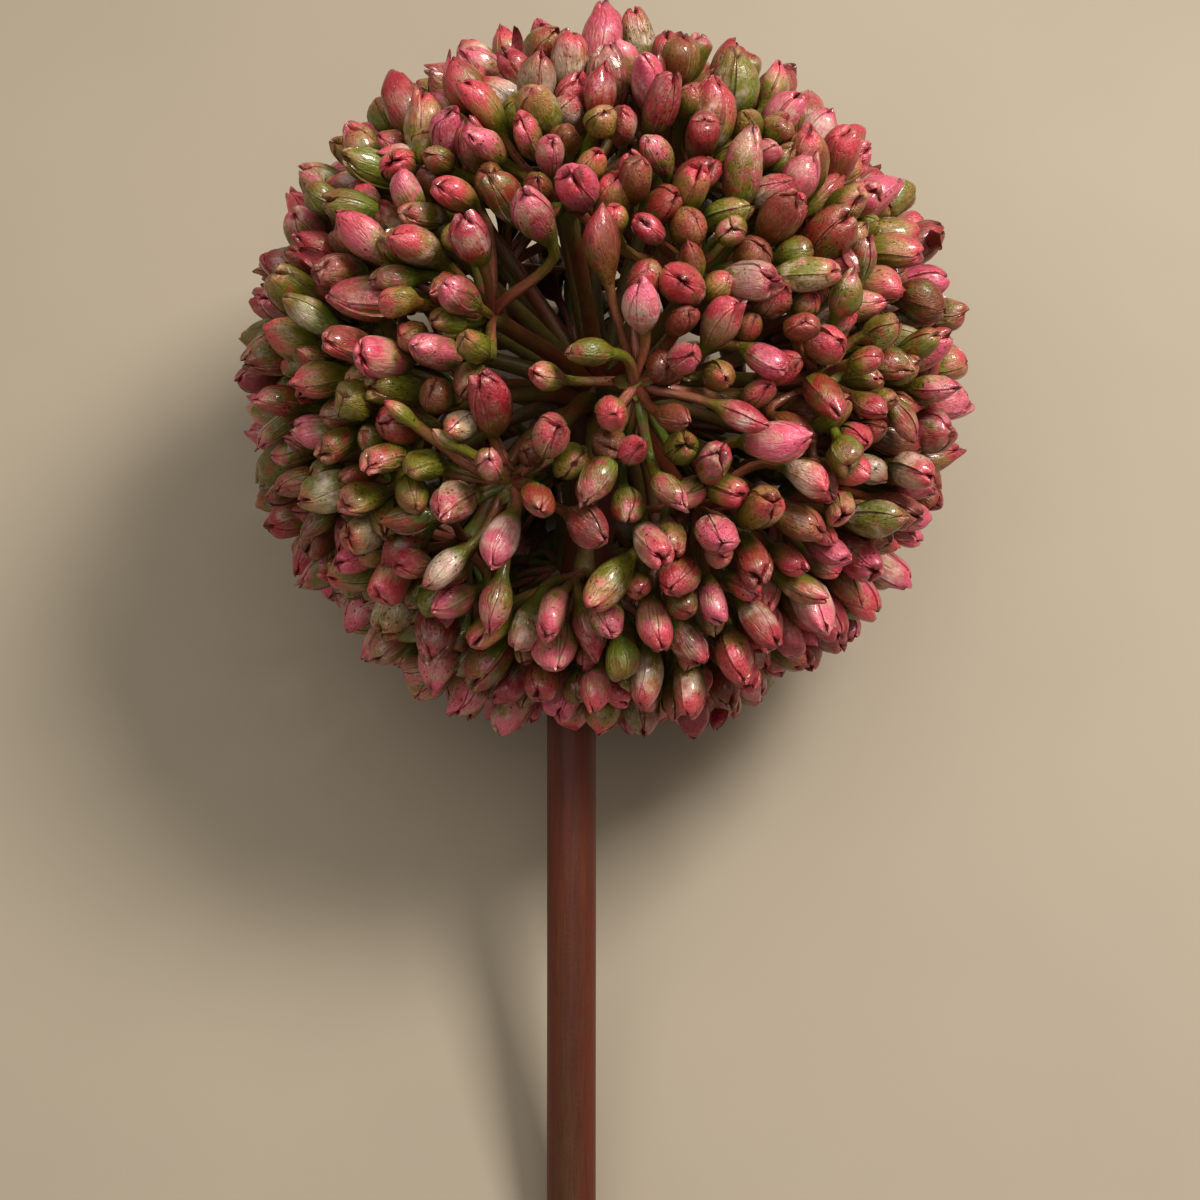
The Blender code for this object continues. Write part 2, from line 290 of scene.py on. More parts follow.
LEAN = lean_angle()
DOWN = np.array((0.0, -math.sin(LEAN), -math.cos(LEAN)))
STALK_EXIT = unit(np.array((STALK_SHIFT, -HEAD_RADIUS, 0.0)))
TO_ROW = Matrix.Translation((0, 0, HEAD_RADIUS - FLAT_DEPTH)) @ Matrix.Rotation(LEAN, 4, "X")


def lattice(count):
    """Directions spread evenly over a sphere along a spiral, from the crown to the stalk."""
    turn = math.pi * (3 - math.sqrt(5))
    steps = np.arange(count)
    height = 1 - (2 * steps + 1) / count
    around = np.sqrt(1 - height**2)
    return np.stack((around * np.cos(turn * steps), height, around * np.sin(turn * steps)), axis=1)


def keep_outside(directions, axis, angle):
    """Moves the directions that lie inside a cone out to its edge."""
    axis = unit(np.asarray(axis, float))
    cosine = directions @ axis
    inside = cosine > math.cos(angle)
    sideways = unit(directions[inside] - cosine[inside, None] * axis)
    directions[inside] = axis * math.cos(angle) + sideways * math.sin(angle)


def spray_directions():
    """One direction for each spray, spaced by pushing each other apart. The open ones come
    first and stay where they are."""
    fixed = unit(np.array(OPEN_SPRAYS))
    found = lattice(SPRAYS)
    nearest = [int(np.argmax(found @ direction)) for direction in fixed]
    found = np.concatenate((fixed, np.delete(found, nearest, axis=0)))
    free = slice(len(fixed), None)
    for _ in range(SPACING_STEPS):
        apart = found[:, None] - found[None]
        distance = np.linalg.norm(apart, axis=2) + np.eye(SPRAYS)
        push = (apart / distance[..., None] ** 4).sum(axis=1)
        found[free] += SPACING_PUSH * push[free]
        found = unit(found)
        keep_outside(found, STALK_EXIT, SPRAY_CLEAR_OF_STALK)
    return found


class Buds:
    """Where each bud sits, which way it points and how big it is, in the head's frame."""

    # Balls that stand for a bud while it settles: their places, as shares of the way from
    # its belly to its knot or, ahead of the belly, to its tip, and how thick they are.
    TO_KNOT = ((0.0, 1.0), (0.2, 0.86), (0.4, 0.66), (0.6, 0.46))
    TO_TIP = ((0.5, 0.84),)

    def __init__(self, knots, draw):
        self.knots = knots
        self.lean = draw.uniform(*LEAN_OUTWARDS, (BUDS, 1))
        self.open_lean = draw.uniform(*OPEN_LEAN_OUTWARDS, (BUDS, 1))
        self.stray = draw.normal(0, STRAY, (BUDS, 3))
        self.size = draw.uniform(*BUD_SIZES, BUDS)
        self.distance = BELLY_DISTANCE + draw.uniform(*BELLY_SPREAD, BUDS)
        self.direction = unit(lattice(BUDS) + draw.normal(0, SCATTER, (BUDS, 3)))
        self.lowest = int(np.argmax(self.direction @ DOWN))
        self.hold()
        for step in range(SETTLING_STEPS):
            if step % STEPS_PER_SEARCH == 0:
                self.join_nearest()
            self.settle()
        self.join_nearest()
        self.fit()

    def hold(self):
        """Keeps buds off the stalk and out of the openings, and one bud straight down."""
        for axis, angle in OPENINGS:
            keep_outside(self.direction, axis, angle)
        keep_outside(self.direction, STALK_EXIT, CLEAR_OF_STALK)
        self.direction[self.lowest] = DOWN
        self.distance[self.lowest] = HEAD_RADIUS - FLAT_DEPTH - SHOULDER_AHEAD - PRESSED / 2

    def aim(self):
        """A bud points partly away from the umbel's middle and partly away from its knot."""
        self.belly = self.direction * self.distance[:, None]
        from_knot = unit(self.belly - self.knots[self.spray])
        is_open = (self.spray < len(OPEN_SPRAYS))[:, None]
        lean = np.where(is_open, self.open_lean, self.lean)
        self.axis = unit((1 - lean) * self.direction + lean * from_knot + self.stray)
        self.axis[self.lowest] = DOWN

    def join_nearest(self):
        """Each bud goes to the spray it is nearest to. Also lists the buds near enough to touch."""
        self.spray = np.argmax(self.direction @ unit(self.knots).T, axis=1)
        self.aim()
        apart = np.linalg.norm(self.belly[:, None] - self.belly[None], axis=2)
        self.first, self.second = np.nonzero(np.triu(apart < NEARBY, k=1))

    def balls(self):
        """The middles and radii of each bud's balls."""
        radius = BUD_RADIUS * self.size
        for share, thickness in self.TO_KNOT:
            yield self.belly + share * (self.knots[self.spray] - self.belly), thickness * radius
        ahead = (TIP_AHEAD * self.size)[:, None] * self.axis
        for share, thickness in self.TO_TIP:
            yield self.belly + share * ahead, thickness * radius

    def closest(self):
        """For each pair, how deep their balls overlap most and the way to push them apart."""
        deepest = np.full(len(self.first), -1.0)
        away = np.zeros((len(self.first), 3))
        balls = list(self.balls())
        for middle_1, radius_1 in balls:
            for middle_2, radius_2 in balls:
                between = middle_1[self.first] - middle_2[self.second]
                gap = np.linalg.norm(between, axis=1)
                reach = radius_1[self.first] + radius_2[self.second]
                depth = (reach + BUD_GAP - gap) / reach
                worse = depth > deepest
                deepest[worse] = depth[worse]
                away[worse] = (between / gap[:, None])[worse]
        return deepest, away

    def settle(self):
        """Pushes the buds that overlap apart a little, over the head's surface."""
        depth, away = self.closest()
        push = np.maximum(depth, 0)[:, None] * away * SETTLING_PUSH
        np.add.at(self.direction, self.first, push)
        np.add.at(self.direction, self.second, -push)
        self.direction = unit(self.direction)
        self.hold()
        self.aim()

    def fit(self):
        """Makes the buds that still overlap slimmer."""
        tight = self.closest()[0] > 0
        while tight.any():
            crowded = np.union1d(self.first[tight], self.second[tight])
            self.size[crowded] *= SLIMMER
            tight = self.closest()[0] > 0


def smooth(value, low=0.0, high=1.0):
    """0 below low, 1 above high, and a soft step between."""
    part = np.clip((value - low) / (high - low), 0, 1)
    return part * part * (3 - 2 * part)


def stalk_shift(y):
    """How far the stalk's middle is to the side at this height."""
    return STALK_SHIFT * smooth((RECEPTACLE_Y - y) / BEND_LENGTH)


def ray_root(direction):
    """Where the ray to a spray leaves the knob, and its way there: spread up the knob."""
    stalk = np.array((0.0, -1.0, 0.0))
    angle = math.acos(float(np.clip(direction @ stalk, -1, 1)))
    portion = (angle - SPRAY_CLEAR_OF_STALK) / (math.pi - SPRAY_CLEAR_OF_STALK)
    start = ROOT_CLEAR_OF_STALK + max(portion, 0) * (math.pi - ROOT_CLEAR_OF_STALK)
    sideways = unit(direction - stalk * (direction @ stalk))
    leaving = stalk * math.cos(start) + sideways * math.sin(start)
    return np.array((0, RECEPTACLE_Y, 0)) + leaving * RECEPTACLE_RADIUS, leaving


class Florets:
    """Every floret of the head: the solids' buds, then smaller ones that fill the gaps."""

    # Balls that stand for a floret when room is measured: place along its axis and thickness
    BALLS = ((-0.6, 0.62), (0.0, 1.0), (0.6, 0.66))

    def __init__(self, buds, directions, filling, filling_depth, thickness):
        self.directions = directions
        self.knots = buds.knots
        self.lowest = buds.lowest
        self.belly = buds.belly
        self.axis = buds.axis
        self.radius = BUD_RADIUS * buds.size * thickness
        self.radius[buds.spray < len(OPEN_SPRAYS)] *= OPEN_SLIMMER
        self.ahead = TIP_AHEAD * buds.size
        self.spray = buds.spray
        self.is_filling = np.zeros(BUDS, bool)
        self.fill(filling, filling_depth)
        self.add_bulbils()

    def append(self, **lists):
        """Adds florets: for each value, a list with one entry a floret."""
        for name, values in lists.items():
            setattr(self, name, np.concatenate((getattr(self, name), values)))

    def open_spots(self):
        """Directions where a filling floret may go, off the stalk and the openings."""
        spots = lattice(FILLING_SPOTS)
        is_open = np.ones(len(spots), bool)
        for axis, angle in OPENINGS + ((STALK_EXIT, CLEAR_OF_STALK),):
            is_open &= spots @ unit(np.asarray(axis, float)) < math.cos(angle + FILLING_CLEAR)
        return spots[is_open]

    def fill(self, count, depth):
        """Adds florets one at a time, each in the widest gap that is left."""
        spots = self.open_spots()
        places = spots * (BELLY_DISTANCE - depth)
        room = np.full(len(spots), np.inf)

        def take_room(belly, axis, radius):
            for along, thick in self.BALLS:
                ball = belly + axis * (along * TIP_AHEAD)
                for along_2, thick_2 in self.BALLS:
                    spot_ball = places + spots * (along_2 * TIP_AHEAD)
                    gap = np.linalg.norm(spot_ball - ball, axis=1) - thick * radius
                    np.minimum(room, gap / thick_2, out=room)

        for belly, axis, radius in zip(self.belly, self.axis, self.radius):
            take_room(belly, axis, radius)
        draw = np.random.default_rng(LOOK_SEED)
        for _ in range(count):
            best = int(np.argmax(room))
            radius = float(np.clip(room[best] * FILLING_SWELL, *FILLING_RADII))
            axis = unit(spots[best] + draw.normal(0, FILLING_STRAY, 3))
            take_room(places[best], axis, radius)
            self.append(
                belly=[places[best] + spots[best] * draw.uniform(*FILLING_SHIFT)],
                axis=[axis],
                radius=[radius],
                ahead=[radius * FILLING_AHEAD],
                spray=[int(np.argmax(self.directions @ spots[best]))],
                is_filling=[True],
            )

    def add_bulbils(self):
        """Adds the small crumpled brown bulbils that sit on some of the knots."""
        for spray, offset, radius in BULBILS:
            self.append(
                belly=[self.knots[spray] + offset],
                axis=[unit(np.asarray(offset, float) + BULBIL_LEAN * self.directions[spray])],
                radius=[radius],
                ahead=[radius * BULBIL_AHEAD],
                spray=[spray],
                is_filling=[False],
            )
        self.is_bulbil = np.arange(len(self.radius)) >= len(self.radius) - len(BULBILS)


@functools.lru_cache(maxsize=1)
def grown(filling, filling_depth, thickness):
    """The whole head, grown by the same rule and seed as the solids."""
    draw = np.random.default_rng(SEED)
    directions = spray_directions()
    reach = KNOT_DISTANCE + draw.uniform(-KNOT_SPREAD, KNOT_SPREAD, (SPRAYS, 1))
    reach[: len(OPEN_SPRAYS)] = OPEN_KNOT_DISTANCE
    buds = Buds(directions * reach, draw)
    return Florets(buds, directions, filling, filling_depth, thickness)


# ---------------------------------------------------------------- meshes


class Piece:
    """Gathers the points, faces and attributes of one piece, and makes it an object."""

    ATTRIBUTES = ("place", "grain", "tint", "tone")  # three values each, for every point

    def __init__(self):
        self.points = []
        self.values = {name: [] for name in self.ATTRIBUTES}
        self.faces = []
        self.materials = []
        self.count = 0

    def add(self, points, faces, material, **values):
        """Adds points (n x 3) and faces, which count from these points' first."""
        points = np.asarray(points, float).reshape(-1, 3)
        self.points.append(points)
        for name in self.ATTRIBUTES:
            value = np.reshape(values.get(name, (0, 0, 0)), (-1, 3))
            self.values[name].append(np.broadcast_to(value, points.shape))
        self.faces += [[corner + self.count for corner in face] for face in faces]
        self.materials += [material] * len(faces)
        self.count += len(points)

    def make(self, name, materials, sharp_angle):
        """Places the piece in the row's frame, pressed flat where it meets the surface."""
        matrix = np.array(TO_ROW)
        points = np.concatenate(self.points) @ matrix[:3, :3].T + matrix[:3, 3]
        points[:, 2] = np.maximum(points[:, 2], 0)
        mesh = bpy.data.meshes.new(name)
        mesh.from_pydata(points.tolist(), [], self.faces)
        for attribute_name, values in self.values.items():
            attribute = mesh.attributes.new(attribute_name, "FLOAT_VECTOR", "POINT")
            attribute.data.foreach_set("vector", np.concatenate(values).astype(np.float32).ravel())
        for material in materials:
            mesh.materials.append(material)
        mesh.polygons.foreach_set("material_index", self.materials)
        mesh.shade_smooth()
        mesh.set_sharp_from_angle(angle=sharp_angle)
        mesh.validate()
        piece = bpy.data.objects.new(name, mesh)
        bpy.context.scene.collection.objects.link(piece)
        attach(piece, "root")
        return piece


def around(count):
    """Angles spread evenly round a circle."""
    return np.arange(count) * math.tau / count


def listed(rings, *ends):
    """The rows of rings of points, or of values for them, in one list with the end rows last."""
    return np.concatenate((np.reshape(rings, (-1, 3)), np.reshape(ends, (-1, 3))))


@functools.lru_cache(maxsize=None)
def grid_faces(rings, columns, start=0):
    """Faces of a tube of rings, each with as many points, numbered from start."""
    faces = []
    for ring in range(rings - 1):
        lower = start + ring * columns
        for column in range(columns):
            after = (column + 1) % columns
            faces.append((lower + column, lower + after, lower + columns + after, lower + columns + column))
    return faces


def fan_faces(ring_start, columns, middle, outwards=True):
    """Faces that close a ring to one point."""
    faces = []
    for column in range(columns):
        edge = (ring_start + column, ring_start + (column + 1) % columns)
        faces.append((*edge, middle) if outwards else (*edge[::-1], middle))
    return faces


def side_frames(tangents, hint):
    """Two directions square to each tangent, the first as near the hint as can be."""
    first = unit(hint - tangents * (tangents @ hint)[:, None])
    return first, np.cross(tangents, first)


def curve_points(ends, steps):
    """Points and tangents along a cubic curve through four handles."""
    t = np.linspace(0, 1, steps)[:, None]
    a, b, c, d = ends
    points = (1 - t) ** 3 * a + 3 * (1 - t) ** 2 * t * b + 3 * (1 - t) * t**2 * c + t**3 * d
    tangents = 3 * (1 - t) ** 2 * (b - a) + 6 * (1 - t) * t * (c - b) + 3 * t**2 * (d - c)
    return points, unit(tangents)


def tube(points, tangents, radii, sides, hint):
    """Rings of points round a path (rings x sides x 3)."""
    first, second = side_frames(tangents, hint)
    angles = around(sides)
    across = np.cos(angles)[None, :, None] * first[:, None] + np.sin(angles)[None, :, None] * second[:, None]
    return points[:, None] + across * np.asarray(radii)[:, None, None]


# ---------------------------------------------------------------- florets


class FloretForm:
    """One floret's shape, drawn by chance round one of a few habits. Its values are shares of
    the floret's length or radius, unless a comment says otherwise."""

    # How likely each habit is, in the order of HABITS
    DENSE_CHANCES = (0.23, 0.6, 0.03, 0.05, 0.09)
    FILLING_CHANCES = (0.54, 0.26, 0.12, 0.08, 0.0)
    OPEN_CHANCES = (0.68, 0.08, 0.04, 0.08, 0.12)
    PETALS = (2, 3, 4)
    PETAL_CHANCES = (0.28, 0.62, 0.1)
    RANGES = {
        "squash": (0.86, 1.14),  # wider one way than the other
        "lump": (0.015, 0.045),  # how uneven its sides are
        "ribs": (0.0, 0.035),
        "inner_share": (0.05, 0.34),  # how much of the way round inner petals show
        "belly": (0.46, 0.6),  # where it is thickest
        "slender": (3.4, 4.6),  # its length over its radius
        "base_power": (1.0, 1.8),  # the smaller, the fuller it is below its belly
        "tip_power": (0.54, 0.86),  # the smaller, the blunter it is above
        "mouth": (0.015, 0.05),  # how wide its tip stays
        "jag": (0.01, 0.05),  # how far its petals' corners fall short
        "beak": (0.01, 0.08),  # how far its petals' tips draw out
    }
    # What each habit draws anew, what it multiplies and what it sets
    HABITS = {
        "drop": {},
        "barrel": {
            "base_power": (0.6, 1.1),
            "tip_power": (0.36, 0.6),
            "mouth": (0.03, 0.14),
            "jag": (0.04, 0.17),
            "flare": (-0.08, 0.05),  # how far its tip spreads
            "belly": (0.48, 0.64),
            "beak": (0.0, 0.05),
        },
        "round": {"slender": (2.3, 2.8), "tip_power": (0.45, 0.6), "base_power": (0.7, 1.0)},
        "knobbly": {"slender": (2.4, 3.0), "lump": (0.1, 0.18)},
        "split": {"inner_share": (0.1, 0.2), "groove": (0.45, 1.1), "mouth": (0.03, 0.08)},
    }
    FACTORS = {"round": {"step": 0.4, "beak": 0.3}, "knobbly": {"beak": 0.3}, "split": {"step": 1.8}}
    FIXED = {"knobbly": {"tip_power": 0.5}, "split": {"petals": 2}}
    HOLLOW_CHANCES = (0.96, 0.04)  # of a barrel that is closed, and of one that is open
    DENT_RANGES = ((0, math.tau), (0.25, 0.8), (0, 0.13))  # angle, place along, depth
    DENTS = 2

    def __init__(self, draw, radius, ahead, is_filling, is_open, is_bulbil):
        chances = self.OPEN_CHANCES if is_open else self.FILLING_CHANCES if is_filling else self.DENSE_CHANCES
        habits = tuple(self.HABITS)
        self.habit = "knobbly" if is_bulbil else habits[int(draw.choice(len(habits), p=chances))]
        self.ring_places = FEWER_RING_PLACES if is_filling else RING_PLACES
        self.radius = radius * draw.uniform(0.84, 1.2)
        self.petals = int(draw.choice(self.PETALS, p=self.PETAL_CHANCES))
        self.twist = draw.normal(0, 0.14)
        self.step = draw.uniform(0.5, 1.5)
        self.bend = draw.normal(0, 0.09, 2)
        self.hook = draw.normal(0, 0.045, 2)
        self.groove = 0.2
        self.flare = 0.0
        for ranges in (self.RANGES, self.HABITS[self.habit]):
            for name, (low, high) in ranges.items():
                setattr(self, name, draw.uniform(low, high))
        for name, factor in self.FACTORS.get(self.habit, {}).items():
            setattr(self, name, getattr(self, name) * factor)
        for name, value in self.FIXED.get(self.habit, {}).items():
            setattr(self, name, value)
        is_barrel = self.habit == "barrel"
        self.hollow = float(draw.choice((0.0, 1.0), p=self.HOLLOW_CHANCES)) if is_barrel else 0.0
        self.length = self.radius * self.slender
        self.ahead = min(ahead, self.length * (1 - self.belly) * 1.12)
        self.length = max(self.length, self.ahead / (1 - self.belly) * 0.94)
        self.phases = draw.uniform(0, math.tau, 6)
        self.dents = [[draw.uniform(*limits) for limits in self.DENT_RANGES] for _ in range(self.DENTS)]
        self.heights = draw.uniform(0.86, 1.0, 8)
        self.roll = draw.uniform(0, math.tau)


class PetalLayout:
    """How a floret's columns are shared out among its outer petals and the inner ones that
    show between them. T is the rings' places along the floret, as a column."""

    def __init__(self, form, t):
        per_petal = COLUMNS // form.petals
        inner = INNER_COLUMNS[form.petals]
        outer = per_petal - inner
        step = math.tau / form.petals
        across = np.linspace(-1, 1, outer)
        between = np.linspace(0, 1, inner)

        gap = 0.05 + (form.inner_share - 0.05) * np.sin(math.pi * np.clip(t * 1.02, 0, 1)) ** 0.8
        self.half = step / 2 * (1 - gap)
        self.inner_width = step - 2 * self.half - 2 * CRACK
        inner_angle = self.half + CRACK + self.inner_width * between
        laid_out = np.concatenate((self.half * across, inner_angle), axis=1)
        even = (np.arange(per_petal) - (outer - 1) / 2) * step / per_petal
        settled = smooth(t, 0.0, 0.16)
        local = even * (1 - settled) + laid_out * settled
        starts = np.arange(form.petals) * step
        angle = (starts[None, :, None] + local[:, None, :]).reshape(len(t), COLUMNS)
        self.angle = angle + form.twist * (t - 0.3)

        # For each column: which kind it is, its place across its petal, and which petal
        self.is_outer = np.tile(np.arange(per_petal) < outer, form.petals)
        self.across = np.tile(np.concatenate((across, np.full(inner, 1.0))), form.petals)
        self.bulge = np.tile(np.concatenate((np.zeros(outer), np.sin(math.pi * between))), form.petals)
        self.petal = np.repeat(np.arange(form.petals), per_petal)


def floret_radii(form, layout, t, base_radius, petal_step):
    """How far each point of a floret's skin is from its axis."""
    rise = np.clip(t / form.belly, 0, 1)
    fall = np.clip((t - form.belly) / (1 - form.belly), 0, 1)
    neck = base_radius / form.radius
    lower = neck + (1 - neck) * np.sin(math.pi / 2 * rise) ** form.base_power
    upper = form.mouth + (1 - form.mouth) * np.cos(math.pi / 2 * fall) ** form.tip_power
    radius = form.radius * np.where(t < form.belly, lower, upper)
    radius = np.repeat(radius, COLUMNS, axis=1)

    # Outer petals stand out, more at one edge than at the other, and inner ones lie behind
    out = petal_step * form.step * smooth(t, 0.08, 0.4)
    crown = 0.8 + 0.2 * (1 - layout.across**2) + 0.45 * layout.across
    radius += out * np.where(layout.is_outer, crown, -form.groove + 0.5 * layout.bulge)

    # Lumps, ribs and dents
    angle, p = layout.angle, form.phases
    lumps = np.sin(2 * angle + p[0] + 3 * t) * np.sin(math.pi * t + p[1] * 0.3)
    lumps += 0.8 * np.sin(3 * angle + p[2]) * np.sin(2.2 * math.pi * t + p[3])
    radius *= 1 + form.lump * lumps * smooth(t, 0.02, 0.25)
    radius *= 1 + form.ribs * np.cos(6 * angle + p[5]) * np.sin(math.pi * t)
    for dent_angle, dent_place, dent_depth in form.dents:
        off = np.arctan2(np.sin(angle - dent_angle), np.cos(angle - dent_angle))
        radius *= 1 - dent_depth * np.exp(-((off / 0.7) ** 2) - ((t - dent_place) / 0.2) ** 2)
    flare = form.flare * form.radius * t**12
    return radius + flare * np.where(layout.is_outer, 1 + 0.5 * np.sin(p[4] + layout.petal * 2), 0.2)


def mouth_cup(form, rim, depth):
    """Two rings of a cup behind the petals' tips, which the skin paints dark as shade."""
    middle = np.array((0, 0, rim[:, 2].min()))
    upper = middle + (rim - middle) * (0.74, 0.74, 0.8) - (0, 0, (0.8 - 0.5 * form.hollow) * depth)
    lower = middle + (rim - middle) * (0.42, 0.42, 0.2) - (0, 0, (0.3 + 0.7 * form.hollow) * depth)
    return upper, lower


def floret_rings(form, base_radius, petal_step):
    """A floret's points in its own frame (rings x columns x 3), base at 0 and tip along Z, the
    point that closes its mouth, and how far each point is from a petal's edge."""
    t = np.array(form.ring_places)[:, None]
    layout = PetalLayout(form, t)
    radius = floret_radii(form, layout, t, base_radius, petal_step)
    across, bulge = layout.across, layout.bulge

    # Petals end at different heights, each with its corners lower and its middle drawn out
    cut = np.where(layout.is_outer, np.abs(across) ** 2.2, 1.0 - 0.6 * bulge)
    height = form.length * (t - form.jag * t**10 * cut)
    height *= 1 - (1 - form.heights[layout.petal]) * t**8
    height += form.length * form.beak * smooth(t, 0.9, 1.0) * np.where(layout.is_outer, 1 - across**2, 0)
    x, y = radius * np.cos(layout.angle) * form.squash, radius * np.sin(layout.angle) / form.squash
    points = np.stack((x, y, height), axis=2)

    inwards = np.where(layout.is_outer, (1 - np.abs(across)) * layout.half, bulge * layout.inner_width / 2)
    edge = np.minimum(inwards * radius, (1.0 - t) * form.length + 0.00002)

    depth = form.length * form.mouth * (0.3 + 0.35 * form.hollow)
    points = np.concatenate((points, mouth_cup(form, points[-1], depth)))
    lengthwise = points[..., 2] / form.length
    for axis in (0, 1):
        hooked = form.hook[axis] * smooth(lengthwise, 0.75, 1.05)
        points[..., axis] += form.length * (form.bend[axis] * lengthwise**2 + hooked)
    end = points[-1].mean(axis=0) + (0, 0, (0.35 - 0.55 * form.hollow) * depth)
    return points, end, edge


@functools.lru_cache(maxsize=None)
def floret_faces(rings):
    """Faces of a floret on its thin stalk, numbered stalk first, then floret, then two ends."""
    first = PEDICEL_SIDES * PEDICEL_RINGS
    last_stalk = first - PEDICEL_SIDES
    per_side = COLUMNS // PEDICEL_SIDES
    faces = grid_faces(PEDICEL_RINGS, PEDICEL_SIDES) + grid_faces(rings, COLUMNS, first)
    for side in range(PEDICEL_SIDES):
        here, after = last_stalk + side, last_stalk + (side + 1) % PEDICEL_SIDES
        columns = [first + (side * per_side + step) % COLUMNS for step in range(per_side + 1)]
        faces.append((here, columns[1], columns[0]))
        faces.append((here, columns[2], columns[1]))
        faces.append((here, after, columns[3], columns[2]))
    tip = first + rings * COLUMNS
    faces += fan_faces(tip - COLUMNS, COLUMNS, tip)
    faces += fan_faces(0, PEDICEL_SIDES, tip + 1, outwards=False)
    return faces


def pedicel_rings(path, tangents, radii, base, axis, towards):
    """The thin stalk's rings. The last lies just below the floret's base, square to its axis,
    and towards points to its first side."""
    rings = tube(path[:-1], tangents[:-1], radii[:-1], PEDICEL_SIDES, towards)
    below = (base - axis * JUST_BELOW)[None]
    return np.concatenate((rings, tube(below, axis[None], radii[-1:], PEDICEL_SIDES, towards)))


def add_floret(piece, draw, florets, index, settings):
    """One floret with its thin stalk, from the knot to the tip, as one closed skin."""
    spray = florets.spray[index]
    is_filling, is_bulbil = florets.is_filling[index], florets.is_bulbil[index]
    knot, away, axis = florets.knots[spray], florets.directions[spray], florets.axis[index]
    shaded = max(0.0, float(axis @ SHADED_SIDE))
    room = (florets.radius[index], florets.ahead[index])
    form = FloretForm(draw, *room, is_filling, spray < len(OPEN_SPRAYS), is_bulbil)
    if index != florets.lowest:
        axis = unit(axis + draw.normal(0, AXIS_STRAY, 3))
    tip = florets.belly[index] + axis * form.ahead
    base = tip - axis * form.length
    thin = settings.pedicel * draw.uniform(*PEDICEL_SIZES)
    rings, end, edge = floret_rings(form, thin * PEDICEL_SWELL, settings.petal_step)

    hint = unit(np.cross(axis, away + 0.3 * axis[[1, 2, 0]]))
    first, second = side_frames(axis[None], hint)
    turned_x = math.cos(form.roll) * first[0] + math.sin(form.roll) * second[0]
    turned_y = np.cross(axis, turned_x)
    basis = np.stack((turned_x, turned_y, axis))

    apart = np.linalg.norm(base - knot)
    outwards = unit(unit(base - knot) + PEDICEL_OUTWARDS * away + draw.normal(0, PEDICEL_STRAY, 3))
    handles = (knot, knot + outwards * apart * 0.42, base - axis * apart * 0.4, base)
    path, tangents = curve_points(handles, PEDICEL_RINGS)
    along = np.linspace(0, 1, PEDICEL_RINGS)
    radii = thin * (1 + 0.35 * (1 - along) ** 3 + 0.2 * along**4)
    # The stalk's first side lies under the floret's second column
    start = math.atan2(rings[0, 1, 1], rings[0, 1, 0])
    towards = math.cos(start) * turned_x + math.sin(start) * turned_y
    stalk = pedicel_rings(path, tangents, radii, base, axis, towards)

    points = np.concatenate((listed(stalk), listed(rings @ basis + base, end @ basis + base, path[0])))
    place, grain = floret_attributes(form, rings, edge, along, draw)
    if form.habit == "barrel" and not is_filling and draw.random() < LOOSE_PETALS:
        add_loose_petal(piece, draw, tip, axis, turned_x, form.radius)
    tint, tone = floret_colouring(form, draw, shaded, is_filling, is_bulbil)
    piece.add(points, floret_faces(len(rings)), 0, place=place, grain=grain, tint=tint, tone=tone)


def add_loose_petal(piece, draw, tip, axis, side, radius):
    """A dark red withered petal that hangs off a floret."""
    out = unit(side + axis * draw.uniform(-0.9, 0.3))
    start = tip - axis * radius * draw.uniform(1.2, 1.8) + side * radius * 0.6
    reach = draw.uniform(*LOOSE_PETAL_REACH)
    up = unit(axis - out * (out @ axis))
    look = {"material": 0, "place_from": 0.75, "tint": (0.2, 0.55, 0.0), "tone": (0.0, 0.0, 1.0)}
    add_scale(piece, draw, start, out, up, reach, reach * 0.36, LOOSE_PETAL_THICK, **look)


def floret_attributes(form, rings, edge, along, draw):
    """For each point: place (along, from a petal's edge in millimetres, mouth) and grain, a
    place in the floret's own frame that is shortened along it, for streaks."""
    cup_rings = 2
    t = np.array(form.ring_places + (1.0,) * cup_rings)
    place = np.zeros((len(t), COLUMNS, 3))
    place[..., 0] = t[:, None]
    place[:-cup_rings, :, 1] = edge / MILLIMETRE
    # How dark the mouth's cup is painted, as shade in its hollow: darker in a hollow barrel
    place[-cup_rings:, :, 2] = ((0.9,), (0.25 + 0.75 * form.hollow,))
    stalk = np.zeros((PEDICEL_RINGS, PEDICEL_SIDES, 3))
    stalk[..., 0] = (along - 1)[:, None]
    stalk[..., 1] = 1.0
    place = np.concatenate((listed(stalk), listed(place, (1, 0, 1), (-1, 1, 0))))

    offset = draw.uniform(0, GRAIN_REACH, 3)
    grain = rings / MILLIMETRE * (1, 1, 0.16)
    angles = around(PEDICEL_SIDES)
    ring = np.stack((np.cos(angles), np.sin(angles), np.zeros(PEDICEL_SIDES)), axis=1)
    stalk_grain = ring[None] + np.array((0, 0, 1.5)) * (along - 1)[:, None, None]
    return place, np.concatenate((listed(stalk_grain), listed(grain, (0, 0, 0), (0, 0, -2)))) + offset


